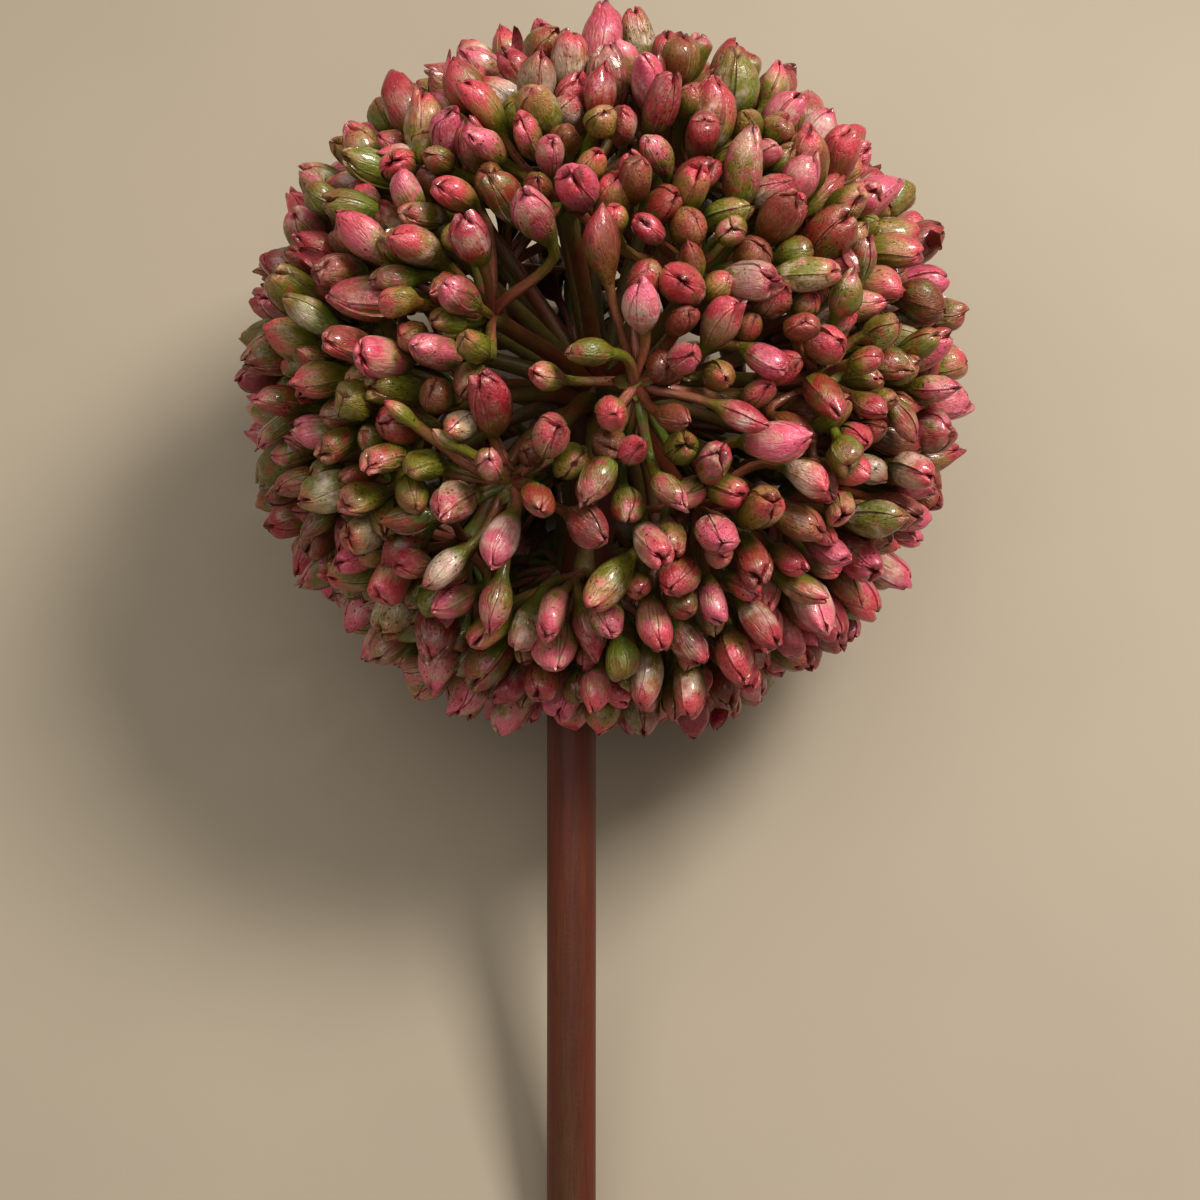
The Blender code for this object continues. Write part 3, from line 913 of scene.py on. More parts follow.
def floret_colouring(form, draw, shaded, is_filling, is_bulbil):
    """How much of the bright pink, the dull brown and the pale bloom a floret has, and then how
    light it is, how green it stays and how marked its dark edges and specks are."""
    blush = draw.beta(1.3, 1.3)
    dull = draw.beta(0.8, 1.9)
    pale = draw.beta(0.55, 1.8) * (1 - 0.6 * dull)
    green = draw.beta(0.9, 1.2)
    marked = draw.beta(1.2, 1.8)
    if form.habit in ("round", "knobbly"):
        blush *= 0.35
        dull = 0.3 + 0.7 * dull
        pale *= 0.3
        green = 0.25 + 0.75 * green
    if is_filling:
        blush *= 0.6
        green = 0.2 + 0.8 * green
    if is_bulbil:
        blush, dull, pale = 0.0, 1.0, 0.0
    green = min(1.0, green + SHADED_GREEN * shaded)
    return (blush, dull, pale), (draw.uniform(0, 1), green, marked)


# ---------------------------------------------------------------- rays and bracts


def add_ray(piece, draw, direction, knot, settings):
    """The ray from the knob to the knot, a little crooked, and its swollen end."""
    root, leaving = ray_root(direction)
    apart = np.linalg.norm(knot - root)
    start = root - leaving * RAY_SUNK
    towards = unit(knot - root)
    wander = draw.normal(0, RAY_WANDER, 3)
    handles = (start, root + leaving * apart * 0.3 + wander, knot - towards * apart * 0.35 + wander, knot)
    path, tangents = curve_points(handles, RAY_RINGS)
    along = np.linspace(0, 1, RAY_RINGS)
    thick = settings.ray * draw.uniform(*RAY_SIZES)
    radii = thick * (1.12 - 0.12 * smooth(along, 0, 0.3) + 0.45 * (1 - along) ** 6)
    radii = radii + np.exp(-(((along - 1) / 0.07) ** 2)) * (settings.knot - thick)
    hint = unit(np.cross(direction, (0.3, 0.5, 0.8)))
    points = tube(path, tangents, radii, RAY_SIDES, hint)
    ribs = 1 + RAY_RIB_DEPTH * np.cos(around(RAY_SIDES) * RAY_RIBS + draw.uniform(0, 6))
    points = path[:, None] + (points - path[:, None]) * ribs[None, :, None]

    # A dome closes the swollen end
    dome = []
    for step in range(1, RAY_DOME_RINGS + 1):
        angle = step * math.pi / 2 / (RAY_DOME_RINGS + 1)
        ring = path[-1] + (points[-1] - path[-1]) * math.cos(angle)
        dome.append(ring + towards * settings.knot * math.sin(angle))
    points = np.concatenate((points, dome))
    rings = len(points)
    faces = list(grid_faces(rings, RAY_SIDES))
    faces += fan_faces((rings - 1) * RAY_SIDES, RAY_SIDES, rings * RAY_SIDES)
    faces += fan_faces(0, RAY_SIDES, rings * RAY_SIDES + 1, outwards=False)

    rows = np.concatenate((along, np.ones(RAY_DOME_RINGS)))[:, None]
    angles = around(RAY_SIDES)
    place, grain = np.zeros((2, rings, RAY_SIDES, 3))
    place[..., 0] = rows
    grain[..., 0], grain[..., 1], grain[..., 2] = 1.3 * np.cos(angles), 1.3 * np.sin(angles), rows * 6
    offset = draw.uniform(0, GRAIN_REACH, 3)
    piece.add(
        listed(points, path[-1] + towards * settings.knot, path[0]),
        faces,
        1,
        place=listed(place, (1, 0, 0), (0, 0, 0)),
        grain=listed(grain, (0, 0, 6), (0, 0, 0)) + offset,
        tint=(draw.uniform(0, 1), draw.uniform(0, 1), 0),
    )


@functools.lru_cache(maxsize=None)
def blade_faces(rows, across):
    """Faces of a closed blade: its top, its bottom, numbered after it, and its border."""
    faces = []
    layer = rows * across
    for row in range(rows - 1):
        for column in range(across - 1):
            a = row * across + column
            b, c, d = a + 1, a + across + 1, a + across
            faces.append((a, d, c, b))
            faces.append((a + layer, b + layer, c + layer, d + layer))
    border = [(0, column) for column in range(across)] + [(row, across - 1) for row in range(1, rows)]
    border += [(rows - 1, column) for column in range(across - 2, -1, -1)]
    border += [(row, 0) for row in range(rows - 2, 0, -1)]
    loop = [row * across + column for row, column in border]
    for here, after in zip(loop, loop[1:] + loop[:1]):
        faces.append((here, after, after + layer, here + layer))
    return faces


def add_scale(piece, draw, base, out, up, reach, width, thick, material, place_from, tint, tone=(0, 0, 0)):
    """A small fleshy scale or petal: a closed blade, cupped and bent, that tapers to a point.
    Thick is half its thickness."""
    t = np.linspace(0, 1, SCALE_ROWS)[:, None]
    s = np.linspace(-1, 1, SCALE_COLUMNS)[None]
    outline = width * np.sin(math.pi * np.clip(t * 0.86 + 0.12, 0, 1)) ** 0.75
    outline = np.maximum(outline, 0.00012)
    side = unit(np.cross(up, out))
    curl = draw.uniform(0.15, 0.6)
    wave = draw.uniform(-0.12, 0.12)
    lift = reach * curl * t**2 + width * 0.55 * s**2 * (1 - 0.4 * t) + reach * wave * np.sin(5 * t + 2 * s)
    middle = base + out * (reach * t)[..., None] + side * (outline * s)[..., None] + up * lift[..., None]
    body = up * (thick * (1 - 0.5 * t) * np.sqrt(np.clip(1.03 - s**2, 0.05, 1)))[..., None]
    place, grain = np.zeros((2, 2, SCALE_ROWS, SCALE_COLUMNS, 3))
    place[..., 0] = place_from + (1 - place_from) * t
    place[..., 1] = 1 - np.abs(s)
    grain[..., 0], grain[..., 2] = s * 2.2, t * 1.2
    grain += draw.uniform(0, GRAIN_REACH, 3)
    points, faces = (middle + body, middle - body), blade_faces(SCALE_ROWS, SCALE_COLUMNS)
    piece.add(points, faces, material, place=place, grain=grain, tint=tint, tone=tone)


def add_bracts(piece, draw, direction, knot, is_open, settings):
    """Small green scales that spread from the knot."""
    first, second = side_frames(direction[None], unit(np.cross(direction, (0.2, 0.9, 0.4))))
    turn = draw.uniform(0, math.tau)
    count = int(draw.integers(*BRACTS))
    for index in range(count):
        angle = turn + math.tau * index / count + draw.normal(0, 0.3)
        sideways = math.cos(angle) * first[0] + math.sin(angle) * second[0]
        out = unit(sideways + direction * draw.uniform(0.1, 0.7))
        up = unit(direction - out * (out @ direction))
        reach = settings.bract * draw.uniform(*BRACT_SIZES) * (BRACT_OPEN_SIZE if is_open else 1.0)
        start = knot + direction * settings.knot * 0.3 + out * settings.knot * 0.4
        tint = (draw.uniform(0, 0.6), draw.uniform(0.1, 0.7) if is_open else draw.uniform(0.5, 1), 1.0)
        width = reach * draw.uniform(0.2, 0.32)
        add_scale(piece, draw, start, out, up, reach, width, BRACT_THICK, 1, 0.0, tint)


# ---------------------------------------------------------------- materials


class Nodes:
    """A node tree with short ways to add and join nodes."""

    def __init__(self, tree):
        self.tree = tree

    def add(self, kind, inputs=None, **settings):
        node = self.tree.nodes.new(kind)
        for name, value in settings.items():
            setattr(node, name, value)
        for name, value in (inputs or {}).items():
            self.put(node.inputs[name], value)
        return node

    def put(self, socket, value):
        if isinstance(value, bpy.types.NodeSocket):
            self.tree.links.new(value, socket)
        else:
            socket.default_value = value

    def math(self, operation, first, second=0.0, clamp=False):
        node = self.add("ShaderNodeMath", operation=operation, use_clamp=clamp)
        self.put(node.inputs[0], first)
        self.put(node.inputs[1], second)
        return node.outputs[0]

    def times(self, first, *others):
        return functools.reduce(functools.partial(self.math, "MULTIPLY"), others, first)

    def plus(self, first, *others):
        return functools.reduce(functools.partial(self.math, "ADD"), others, first)

    def minus(self, first, second):
        return self.math("SUBTRACT", first, second)

    def remap(self, value, low, high, to_low=0.0, to_high=1.0):
        inputs = {"Value": value, "From Min": low, "From Max": high, "To Min": to_low, "To Max": to_high}
        return self.add("ShaderNodeMapRange", inputs, interpolation_type="SMOOTHSTEP").outputs["Result"]

    def mix(self, factor, first, second, blend="MIX"):
        node = self.add("ShaderNodeMix", data_type="RGBA", blend_type=blend, clamp_factor=True)
        self.put(node.inputs["Factor"], factor)
        self.put(node.inputs[6], as_colour(first))
        self.put(node.inputs[7], as_colour(second))
        return node.outputs[2]

    def cover(self, below, colour, *masks):
        """Lays a colour over what is below, as strongly as the masks' product says."""
        return self.mix(self.times(*masks), below, colour)

    def shade(self, colour, brightness):
        """The colour made darker or lighter by a factor."""
        grey = self.add("ShaderNodeCombineColor", dict.fromkeys(("Red", "Green", "Blue"), brightness))
        return self.mix(1.0, colour, grey.outputs["Color"], blend="MULTIPLY")

    def ramp(self, value, stops):
        """A colour ramp with (position, colour) stops."""
        node = self.add("ShaderNodeValToRGB", {"Fac": value})
        elements = node.color_ramp.elements
        while len(elements) < len(stops):
            elements.new(0.5)
        for element, (position, tone) in zip(elements, stops):
            element.position = position
            element.color = (*tone, 1)
        return node.outputs["Color"]

    def noise(self, place, scale, detail=3.0, roughness=0.55):
        inputs = {"Vector": place, "Scale": scale, "Detail": detail, "Roughness": roughness}
        return self.add("ShaderNodeTexNoise", inputs).outputs["Fac"]

    def attribute(self, name):
        return self.add("ShaderNodeAttribute", attribute_name=name).outputs["Vector"]

    def parts(self, name):
        """The three values of a mesh attribute."""
        node = self.add("ShaderNodeSeparateXYZ", {"Vector": self.attribute(name)})
        return node.outputs["X"], node.outputs["Y"], node.outputs["Z"]

    def object_place(self):
        return self.add("ShaderNodeTexCoord").outputs["Object"]

    def group(self, shared, inputs):
        return self.add("ShaderNodeGroup", inputs, node_tree=shared).outputs

    def patches(self, place, scale, level, softness):
        inputs = {"Place": place, "Scale": scale, "Level": level, "Softness": softness}
        return self.group(patch_group(), inputs)["Mask"]

    def specks(self, place, per_metre, size, amount):
        inputs = {"Place": place, "Per Metre": per_metre, "Size": size, "Amount": amount}
        return self.group(speck_group(), inputs)["Mask"]

    def streaks(self, grain, scale):
        """Veins and fine streaks along the grain."""
        outputs = self.group(streak_group(), {"Grain": grain, "Scale": scale})
        return outputs["Veins"], outputs["Fine"]


def as_colour(value):
    """A colour property with full opacity, and anything else as it is."""
    return value if isinstance(value, bpy.types.NodeSocket) else (*value, 1.0)


def new_group(name, inputs, outputs):
    """An empty node group with a vector input, number inputs with their defaults and number
    outputs, and what its two end nodes hold."""
    group = bpy.data.node_groups.new(name, "ShaderNodeTree")
    vector, *numbers = inputs
    group.interface.new_socket(name=vector, in_out="INPUT", socket_type="NodeSocketVector")
    for socket_name, default in numbers:
        socket = group.interface.new_socket(name=socket_name, in_out="INPUT", socket_type="NodeSocketFloat")
        socket.default_value = default
    for socket_name in outputs:
        group.interface.new_socket(name=socket_name, in_out="OUTPUT", socket_type="NodeSocketFloat")
    nodes = Nodes(group)
    return nodes, nodes.add("NodeGroupInput").outputs, nodes.add("NodeGroupOutput").inputs


@functools.lru_cache(maxsize=None)
def speck_group():
    """Small dark specks, gathered in places."""
    inputs = ("Place", ("Per Metre", 1400.0), ("Size", 0.16), ("Amount", 0.5))
    nodes, given, out = new_group("Specks", inputs, ("Mask",))
    place, size = given["Place"], given["Size"]
    wobble = nodes.add("ShaderNodeTexNoise", {"Vector": place, "Scale": 900.0, "Detail": 2.0})
    shift = nodes.add("ShaderNodeVectorMath", operation="SCALE")
    nodes.put(shift.inputs[0], wobble.outputs["Color"])
    nodes.put(shift.inputs["Scale"], 0.0006)
    moved = nodes.add("ShaderNodeVectorMath", operation="ADD")
    nodes.put(moved.inputs[0], place)
    nodes.put(moved.inputs[1], shift.outputs[0])
    cells = nodes.add("ShaderNodeTexVoronoi", {"Vector": moved.outputs[0], "Scale": given["Per Metre"]})
    distance = cells.outputs["Distance"]
    near = nodes.math("LESS_THAN", distance, nodes.times(size, nodes.noise(place, 700.0, 1.0)))
    soft = nodes.remap(distance, size, 0.0)
    limit = nodes.minus(1.0, given["Amount"])
    where = nodes.remap(nodes.noise(place, 260.0, 2.0), limit, nodes.plus(limit, 0.12))
    spot = nodes.math("MULTIPLY", near, nodes.plus(soft, 0.4), clamp=True)
    nodes.put(out["Mask"], nodes.times(spot, where))
    return nodes.tree


@functools.lru_cache(maxsize=None)
def patch_group():
    """Soft-edged patches: 1 where the noise is above the level."""
    inputs = ("Place", ("Scale", 300.0), ("Level", 0.5), ("Softness", 0.1))
    nodes, given, out = new_group("Patches", inputs, ("Mask",))
    noise = nodes.noise(given["Place"], given["Scale"], 3.0, 0.6)
    low = nodes.minus(given["Level"], given["Softness"])
    high = nodes.plus(given["Level"], given["Softness"])
    nodes.put(out["Mask"], nodes.remap(noise, low, high))
    return nodes.tree


@functools.lru_cache(maxsize=None)
def streak_group():
    """Fine veins that run along a floret, ray or stalk. Grain is a place that is shortened
    along the piece, so that noise comes out drawn into streaks."""
    nodes, given, out = new_group("Streaks", ("Grain", ("Scale", 1.0)), ("Veins", "Fine"))
    broad = nodes.noise(given["Grain"], given["Scale"], 2.0, 0.5)
    fine = nodes.noise(given["Grain"], nodes.times(given["Scale"], 3.6), 3.0, 0.6)
    nodes.put(out["Veins"], nodes.remap(nodes.math("ABSOLUTE", nodes.minus(broad, 0.5)), 0.045, 0.0))
    nodes.put(out["Fine"], fine)
    return nodes.tree


class Surface:
    """A material under way, with its nodes and its shader."""

    def __init__(self, name):
        self.material = bpy.data.materials.new(name)
        self.material.use_nodes = True
        self.nodes = Nodes(self.material.node_tree)
        self.shader = self.material.node_tree.nodes["Principled BSDF"]
        self.here = self.nodes.object_place()

    def put(self, **inputs):
        """Sets or joins the shader's sockets. An underscore in a name stands for a space."""
        for name, value in inputs.items():
            self.nodes.put(self.shader.inputs[name.replace("_", " ")], value)

    def bump(self, height, strength, distance):
        inputs = {"Height": height, "Strength": strength, "Distance": distance}
        self.put(Normal=self.nodes.add("ShaderNodeBump", inputs).outputs["Normal"])


class Skin(Surface):
    """A plant's skin, with veins and fine streaks along its grain."""

    def __init__(self, name, streak_scale):
        super().__init__(name)
        self.grain = self.nodes.attribute("grain")
        self.veins, self.fine = self.nodes.streaks(self.grain, streak_scale)


class FloretSkin(Skin):
    """Waxy petals: olive at the base, tan and faded at the belly, rose towards the tip, with
    patches of other colours, veins, dark edges that are partly painted shade in the creases, a
    painted highlight behind the edges, painted shade in the mouth, and specks. The thin stalk shades into it."""

    def __init__(self, look):
        super().__init__("floret skin", 0.9)
        nodes = self.nodes
        self.look = look
        self.along, self.edge, self.mouth = nodes.parts("place")
        self.blush, self.dull, self.pale = nodes.parts("tint")
        self.light, self.green, self.marked = nodes.parts("tone")
        self.on_floret = nodes.remap(self.along, 0.12, 0.4)
        self.uneven = nodes.noise(self.here, 600.0, 3.0)
        skin = self.with_patches(self.ground())
        self.put(Base_Color=self.with_edges(self.with_streaks(skin)))
        self.add_gloss()
        self.add_relief()

    def ground(self):
        """Olive gives way to tan and rose, sooner or later on each floret and in each place."""
        nodes, look, along = self.nodes, self.look, self.along
        patchy = nodes.times(nodes.minus(nodes.noise(self.here, 330.0, 3.0), 0.5), 0.7)
        drawn = nodes.times(nodes.minus(nodes.noise(self.grain, 0.55, 2.0), 0.5), 0.5)
        pull = nodes.minus(nodes.times(self.blush, 0.26), nodes.times(self.green, 0.7))
        shifted = nodes.plus(nodes.plus(along, patchy), nodes.plus(pull, drawn))
        stops = ((0.22, look.base_colour), (0.47, look.middle_colour), (0.7, look.tip_colour))
        faded = nodes.times(nodes.remap(shifted, 0.24, 0.46), nodes.remap(shifted, 0.86, 0.5))
        faded_share = nodes.remap(self.blush, 0.25, 1.0, 0.04, 0.5)
        ground = nodes.cover(nodes.ramp(shifted, stops), look.pale_colour, faded, faded_share)
        nearer = nodes.remap(along, -0.75, -0.02)
        greener = nodes.remap(self.green, 0.15, 0.7, 0.25, 1.0)
        thin_stalk = nodes.cover(look.pedicel_colour, look.base_colour, nearer, greener)
        return nodes.mix(nodes.remap(along, -0.1, 0.14), thin_stalk, ground)

    def spread(self, amount, scale, without, whole, softness):
        """Patches that spread further the more a floret has of them. Without and whole are the
        noise's levels for a floret with none of it and with all of it."""
        level = self.nodes.plus(self.nodes.times(amount, whole - without), without)
        return self.nodes.patches(self.here, scale, level, softness)

    def with_patches(self, skin):
        """Patches of other colours. How far they spread is drawn for each floret."""
        nodes, look, on_floret = self.nodes, self.look, self.on_floret
        bright = self.spread(self.blush, 300.0, 0.86, 0.34, 0.14)
        skin = nodes.cover(skin, look.bright_colour, bright, on_floret, 0.85)
        deep = self.spread(self.light, 340.0, 0.44, 0.86, 0.12)
        skin = nodes.cover(skin, look.deep_colour, deep, on_floret, 0.75)
        self.dulled = self.spread(self.dull, 210.0, 0.9, 0.28, 0.16)
        skin = nodes.cover(skin, look.dull_colour, self.dulled, 0.85)
        bloom = self.spread(self.pale, 250.0, 0.86, 0.2, 0.13)
        skin = nodes.cover(skin, look.pale_colour, bloom, on_floret, nodes.remap(self.along, 0.95, 0.6), 0.72)
        fresh = self.spread(self.green, 380.0, 0.88, 0.46, 0.1)
        return nodes.cover(skin, look.fresh_colour, fresh, nodes.remap(self.along, 0.9, 0.3))

    def with_streaks(self, skin):
        """Veins, and fine streaks and mottling that lighten and darken the skin."""
        nodes = self.nodes
        skin = nodes.cover(skin, self.look.dull_colour, self.veins, nodes.times(self.marked, 0.34))
        streaked = nodes.remap(self.fine, 0.3, 0.7, 0.88, 1.1)
        lighter = nodes.remap(self.light, 0.0, 1.0, 0.76, 1.1)
        mottled = nodes.remap(nodes.noise(self.here, 2400.0, 2.0), 0.35, 0.65, 0.9, 1.1)
        return nodes.shade(skin, nodes.times(streaked, lighter, mottled))

    def with_edges(self, skin):
        """Petal edges: a darker red line, partly the petals' own edge colour and partly painted shade
        in the crease between petals, ragged brown in places, with a pale rim behind that is a painted
        highlight. The tip is worn, the mouth is painted dark as shade, and specks lie over it all."""
        nodes, look, uneven = self.nodes, self.look, self.uneven
        # Painted highlight: a pale band just behind each petal's raised edge
        rim = nodes.times(nodes.remap(self.edge, 0.08, 0.2), nodes.remap(self.edge, 0.46, 0.24))
        rim = nodes.times(rim, self.on_floret, nodes.remap(uneven, 0.56, 0.4, 0.0, 0.34))
        skin = nodes.cover(skin, look.pale_colour, rim, nodes.remap(self.blush, 0.2, 0.9, 0.35, 1.0))
        # The seam line: partly the petals' own darker edge, partly painted shade in the crease; the worn
        # layer browns it further in ragged stretches
        width = nodes.remap(uneven, 0.4, 0.7, 0.02, 0.14)
        self.seam = nodes.times(nodes.remap(self.edge, width, 0.01), nodes.remap(self.along, 0.15, 0.55))
        skin = nodes.cover(skin, look.edge_colour, self.seam, 0.34)
        worn = nodes.times(nodes.remap(uneven, 0.44, 0.66), nodes.remap(self.marked, 0.0, 0.9, 0.02, 0.5))
        skin = nodes.cover(skin, look.seam_colour, self.seam, worn)
        tip_wear = nodes.times(nodes.remap(self.along, 0.93, 1.0), nodes.remap(uneven, 0.45, 0.6))
        skin = nodes.cover(skin, look.seam_colour, tip_wear, 0.7)
        specks = nodes.specks(self.here, 1250.0, 0.46, nodes.remap(self.marked, 0.0, 1.0, 0.44, 0.65))
        skin = nodes.cover(skin, look.seam_colour, specks, 0.8)
        # Painted shade: the mouth's cup darkened, more in a hollow barrel
        return nodes.mix(nodes.remap(self.mouth, 0.0, 0.9, 0.0, 0.8), skin, look.seam_colour)

    def add_gloss(self):
        """A patchy waxy coat over skin that is drier where it is dull and along the edges."""
        nodes = self.nodes
        dry = nodes.plus(nodes.times(self.fine, 0.26), self.look.roughness - 0.13)
        dry = nodes.plus(dry, nodes.times(self.dulled, 0.14), nodes.times(self.seam, 0.3))
        waxy = nodes.remap(nodes.noise(self.here, 420.0), 0.35, 0.65, 0.05, self.look.wax * 2)
        self.put(Roughness=dry, Coat_Weight=waxy, Coat_Roughness=0.1, Specular_IOR_Level=0.62)

    def add_relief(self):
        """Streaks, pores and wrinkles, deeper on dull florets, with the veins sunk in."""
        nodes = self.nodes
        wrinkled = nodes.noise(self.grain, 1.7, 3.0, 0.6)
        wrinkled = nodes.times(wrinkled, nodes.remap(self.dull, 0.0, 1.0, 0.5, 1.6))
        pores = nodes.times(nodes.noise(self.here, 1500.0, 2.0), 0.5)
        relief = nodes.minus(nodes.plus(self.fine, pores, wrinkled), nodes.times(self.veins, 0.5))
        self.bump(relief, 0.48, 0.0003)


def frame_material(look):
    """Rays, knots and bracts: olive, blushing red in places, greener at the knot."""
    base = Skin("ray and bract skin", 1.4)
    nodes = base.nodes
    along, edge, _ = nodes.parts("place")
    blush, lively, is_bract = nodes.parts("tint")
    blushed = nodes.patches(base.here, 120.0, nodes.minus(0.75, nodes.times(blush, 0.4)), 0.15)
    skin = nodes.mix(blushed, look.ray_colour, look.blush_colour)
    greener = nodes.times(nodes.remap(along, 0.75, 1.0), lively)
    greener = nodes.math("MAXIMUM", greener, nodes.times(is_bract, lively))
    skin = nodes.cover(skin, look.green_colour, greener, 0.85)
    skin = nodes.cover(skin, look.blush_colour, is_bract, nodes.remap(along, 0.55, 1.0), 0.6)
    skin = nodes.cover(skin, look.fibre_colour, is_bract, nodes.remap(edge, 0.2, 0.0), 0.5)
    skin = nodes.cover(skin, look.fibre_colour, base.veins, 0.3)
    skin = nodes.shade(skin, nodes.remap(base.fine, 0.3, 0.7, 0.8, 1.15))
    skin = nodes.cover(skin, look.fibre_colour, nodes.specks(base.here, 1100.0, 0.4, 0.52), 0.8)
    rough = nodes.plus(nodes.times(base.fine, 0.24), look.roughness - 0.12)
    base.put(Base_Color=skin, Roughness=rough, Coat_Weight=0.12, Coat_Roughness=0.25)
    base.bump(base.fine, 0.4, 0.0003)
    return base.material


def stalk_material(look):
    """The main stalk: satin maroon skin with darker stretches, olive showing through, fine
    lengthwise fibres, and pale pith at the cut."""
    base = Skin("main stalk skin", 0.9)
    nodes = base.nodes
    _, pith, knob = nodes.parts("place")
    skin = nodes.cover(look.skin_colour, look.shade_colour, nodes.patches(base.grain, 0.16, 0.5, 0.2), 0.8)
    skin = nodes.cover(skin, look.olive_colour, nodes.patches(base.grain, 0.22, 0.58, 0.12), 0.6)
    skin = nodes.cover(skin, look.olive_colour, nodes.patches(base.here, 160.0, 0.55, 0.2), 0.25)
    skin = nodes.cover(skin, look.shade_colour, base.veins, 0.22)
    skin = nodes.shade(skin, nodes.remap(base.fine, 0.3, 0.7, 0.88, 1.1))
    skin = nodes.cover(skin, look.shade_colour, nodes.specks(base.here, 900.0, 0.3, 0.46), 0.6)
    skin = nodes.cover(skin, look.olive_colour, knob, 0.7)
    pith_cells = {"Vector": base.here, "Scale": 2600.0}
    borders = nodes.add("ShaderNodeTexVoronoi", pith_cells, feature="DISTANCE_TO_EDGE").outputs["Distance"]
    cells = nodes.remap(borders, 0.0, 0.12, 0.62, 1.0)
    skin = nodes.mix(pith, skin, nodes.shade(look.pith_colour, cells))
    rough = nodes.plus(nodes.times(base.fine, 0.2), look.roughness - 0.1)
    rough = nodes.plus(rough, nodes.times(pith, 0.3))
    base.put(Base_Color=skin, Roughness=rough, Coat_Weight=0.08, Coat_Roughness=0.3)
    relief = nodes.plus(nodes.times(base.fine, 0.7), nodes.noise(base.here, 1300.0, 2.0))
    base.bump(nodes.plus(relief, nodes.times(cells, pith, 1.5)), 0.25, 0.0002)
    return base.material


def floor_material(tone):
    """Plain pale floor with the faintest unevenness."""
    base = Surface("floor")
    cloudy = base.nodes.remap(base.nodes.noise(base.here, 9.0, 3.0), 0.3, 0.7, 0.97, 1.02)
    base.put(Base_Color=base.nodes.shade(tone, cloudy), Roughness=0.8)
    return base.material


# ---------------------------------------------------------------- operators


class ALLIUM_OT_stage(bpy.types.Operator):
    """Lays the floor and sets the soft light and the camera"""

    bl_idname = "allium.build_stage"
    bl_label = "Stage"

    def execute(self, context):
        settings = context.scene.allium_stage
        context.scene.view_settings.view_transform = "Standard"
        context.scene.view_settings.look = "Medium High Contrast"
        add_floor(context, settings)
        add_soft_light("key light", power=settings.key_power, **KEY_LIGHT)
        add_soft_light("overhead light", power=settings.overhead_power, **OVERHEAD_LIGHT)
        world = bpy.data.worlds.new("studio")
        world.use_nodes = True
        background = world.node_tree.nodes["Background"]
        background.inputs["Color"].default_value = SKY_TONE
        background.inputs["Strength"].default_value = settings.sky_strength
        context.scene.world = world
        add_camera(context, settings)
        return {"FINISHED"}


def add_floor(context, settings):
    """One plain square under the part, so wide that its edges are out of sight."""
    corners = [(-1, -1, 0), (1, -1, 0), (1, 1, 0), (-1, 1, 0)]
    mesh = bpy.data.meshes.new("floor")
    mesh.from_pydata((np.array(corners) * FLOOR_REACH).tolist(), [], [(0, 1, 2, 3)])
    mesh.materials.append(floor_material(settings.floor_colour))
    floor = bpy.data.objects.new("floor", mesh)
    floor.location.z = -FLOOR_DROP
    context.scene.collection.objects.link(floor)


def add_soft_light(name, offset, size, power, tone):
    """A square area light that faces the head from this far off its middle."""
    light = bpy.data.lights.new(name, "AREA")
    light.size = size
    light.energy = power
    light.color = tone
    holder = bpy.data.objects.new(name, light)
    place = np.array((0, 0, HEAD_RADIUS - FLAT_DEPTH)) + offset
    away = unit(np.array(offset, float))
    side = unit(np.cross((0, 0, 1), away))
    turn = Matrix((side, np.cross(away, side), away)).transposed().to_4x4()
    holder.matrix_world = Matrix.Translation(place) @ turn
    bpy.context.scene.collection.objects.link(holder)


def add_camera(context, settings):
    """Looks straight down on the head, square to the stalk, and frames its lower stalk too."""
    aim = TO_ROW @ Matrix.Translation(CAMERA_AIM)
    camera = bpy.data.cameras.new("camera")
    camera.lens = settings.lens
    camera.clip_start = 0.01
    holder = bpy.data.objects.new("camera", camera)
    holder.matrix_world = aim @ Matrix.Translation((0, 0, settings.distance))
    context.scene.collection.objects.link(holder)
    context.scene.camera = holder


class ALLIUM_OT_stalk(bpy.types.Operator):
    """Makes the smooth main stalk with the knob at its top and its cut end"""

    bl_idname = "allium.build_stalk"
    bl_label = "Main stalk"

    def execute(self, context):
        piece = Piece()
        add_stalk(piece)
        made = piece.make("main_stalk", [stalk_material(context.scene.allium_stalk)], STALK_SHARP)
        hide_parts("stalk")
        return {"FINISHED"}


def stalk_outline():
    """The stalk's and its knob's heights and radii, from the cut end up."""
    knob_foot = math.asin(STALK_RADIUS / RECEPTACLE_RADIUS)
    foot_y = RECEPTACLE_Y - RECEPTACLE_RADIUS * math.cos(knob_foot)
    heights = list(np.linspace(-STALK_LENGTH + CUT_INSET, foot_y - NECK, STALK_RINGS))
    radii = [STALK_RADIUS] * len(heights)
    blend = np.linspace(0, 1, 6)[1:]
    heights += list(foot_y - NECK + NECK * blend)
    radii += list(STALK_RADIUS + NECK_SWELL * smooth(blend))
    for angle in np.linspace(knob_foot, math.pi, 15)[1:-1]:
        heights.append(RECEPTACLE_Y - RECEPTACLE_RADIUS * math.cos(angle))
        radii.append(RECEPTACLE_RADIUS * math.sin(angle))
    return np.array(heights), np.array(radii), foot_y


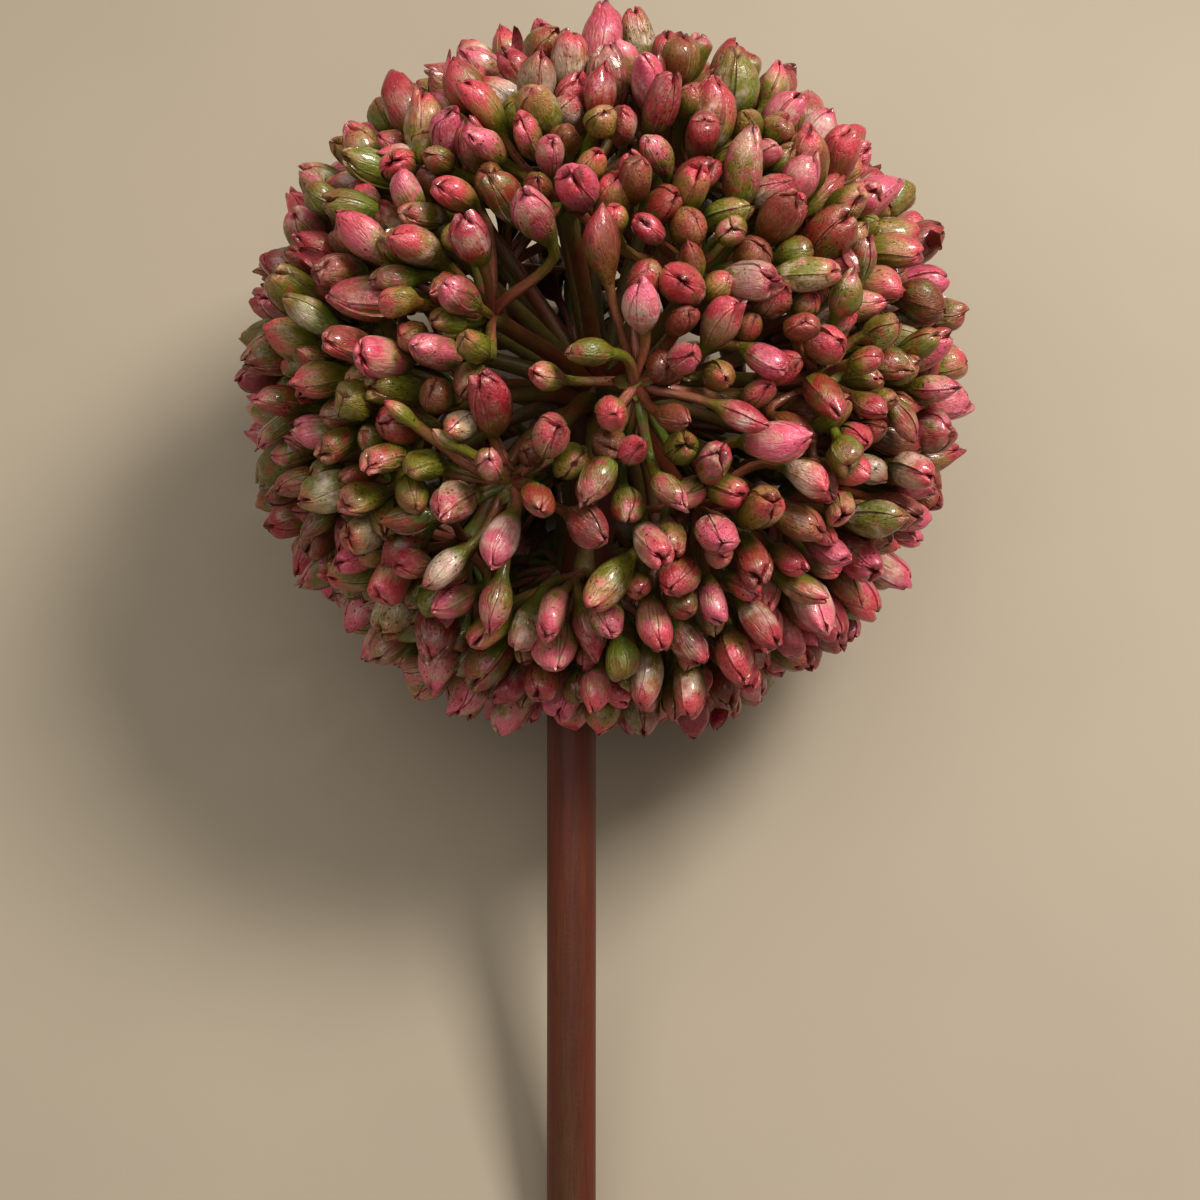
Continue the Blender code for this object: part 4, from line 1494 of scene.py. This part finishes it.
def add_stalk(piece):
    """The stalk as rings from the cut end up to the top of the knob."""
    sides = STALK_SIDES
    heights, radii, foot_y = stalk_outline()
    angles = around(sides)
    length_down = -heights[:, None]
    phases = np.random.default_rng(LOOK_SEED + 1).uniform(0, math.tau, 6)
    uneven = 0.010 * np.sin(2 * angles + phases[0] + 9 * length_down)
    uneven = uneven + 0.006 * np.sin(angles * 3 + phases[1]) * np.sin(60 * length_down + phases[2])
    uneven = uneven + 0.0035 * np.sin(angles * 13 + phases[3] + 3 * length_down)
    ring_radius = radii[:, None] * (1 + uneven)
    x = stalk_shift(heights)[:, None] + ring_radius * np.cos(angles)
    z = ring_radius * np.sin(angles)
    y = np.broadcast_to(heights[:, None], x.shape)
    skin = np.stack((x, y, z), axis=2)

    # The cut: a worn rim, then pith that is a little sunk
    rim = skin[0]
    middle = np.array((STALK_SHIFT, -STALK_LENGTH, 0))
    cut = []
    for share_out, sunk in CUT_RINGS:
        ring = middle + (rim - middle) * share_out
        ring[:, 1] = -STALK_LENGTH + sunk + 0.00012 * np.sin(angles * 7 + phases[4]) * share_out
        cut.append(ring)
    points = np.concatenate((cut, skin))
    rings = len(points)
    faces = [face[::-1] for face in grid_faces(rings, sides)]
    faces += fan_faces(0, sides, rings * sides)
    faces += fan_faces((rings - 1) * sides, sides, rings * sides + 1, outwards=False)
    low, high = middle + (0, 0.0013, 0), (0, RECEPTACLE_Y + RECEPTACLE_RADIUS, 0)
    place = np.zeros((rings, sides, 3))
    place[: len(cut), :, 1] = 1
    place[len(cut) :, :, 2] = smooth(heights, foot_y - NECK / 2, foot_y + NECK)[:, None]
    grain = listed(points / MILLIMETRE * (1, 0.05, 1), (0, -8, 0), (0, 0, 0))
    piece.add(listed(points, low, high), faces, 0, place=listed(place, (0, 1, 0), (0, 0, 1)), grain=grain)


class ALLIUM_OT_sprays(bpy.types.Operator):
    """Makes every spray: its ray, knot, bracts, thin stalks and florets"""

    bl_idname = "allium.build_sprays"
    bl_label = "Sprays"

    def execute(self, context):
        florets_look = context.scene.allium_florets
        frame_look = context.scene.allium_frame
        florets = grown(florets_look.filling, florets_look.filling_depth, florets_look.thickness)
        materials = [FloretSkin(florets_look).material, frame_material(frame_look)]
        for spray in range(SPRAYS):
            draw = np.random.default_rng((LOOK_SEED, spray))
            piece = Piece()
            direction, knot = florets.directions[spray], florets.knots[spray]
            add_ray(piece, draw, direction, knot, frame_look)
            add_bracts(piece, draw, direction, knot, spray < len(OPEN_SPRAYS), frame_look)
            for index in np.nonzero(florets.spray == spray)[0]:
                add_floret(piece, draw, florets, index, florets_look)
            made = piece.make(f"spray_{spray + 1:02d}_in_bud", materials, SPRAY_SHARP)
            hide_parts(f"spray_{spray + 1:02d}")
        return {"FINISHED"}


class ALLIUM_PT_panel(bpy.types.Panel):
    bl_label = "Allium"
    bl_idname = "ALLIUM_PT_panel"
    bl_space_type = "VIEW_3D"
    bl_region_type = "UI"
    bl_category = "Allium"

    def draw(self, context):
        layout = self.layout
        for operator in OPERATORS:
            layout.operator(operator.bl_idname)
        for name, kind in SETTINGS.items():
            box = layout.box()
            box.label(text=name.replace("_", " ").capitalize())
            for setting in kind.__annotations__:
                box.prop(getattr(context.scene, name), setting)


OPERATORS = (ALLIUM_OT_stage, ALLIUM_OT_stalk, ALLIUM_OT_sprays)


def register():
    for kind in (*SETTINGS.values(), *OPERATORS, ALLIUM_PT_panel):
        bpy.utils.register_class(kind)
    for name, kind in SETTINGS.items():
        setattr(bpy.types.Scene, name, bpy.props.PointerProperty(type=kind))


def unregister():
    for name in SETTINGS:
        delattr(bpy.types.Scene, name)
    for kind in (ALLIUM_PT_panel, *reversed(OPERATORS), *reversed(SETTINGS.values())):
        bpy.utils.unregister_class(kind)


def main():
    register()
    bpy.ops.allium.build_stage()
    bpy.ops.allium.build_stalk()
    bpy.ops.allium.build_sprays()


if __name__ == "__main__":
    main()
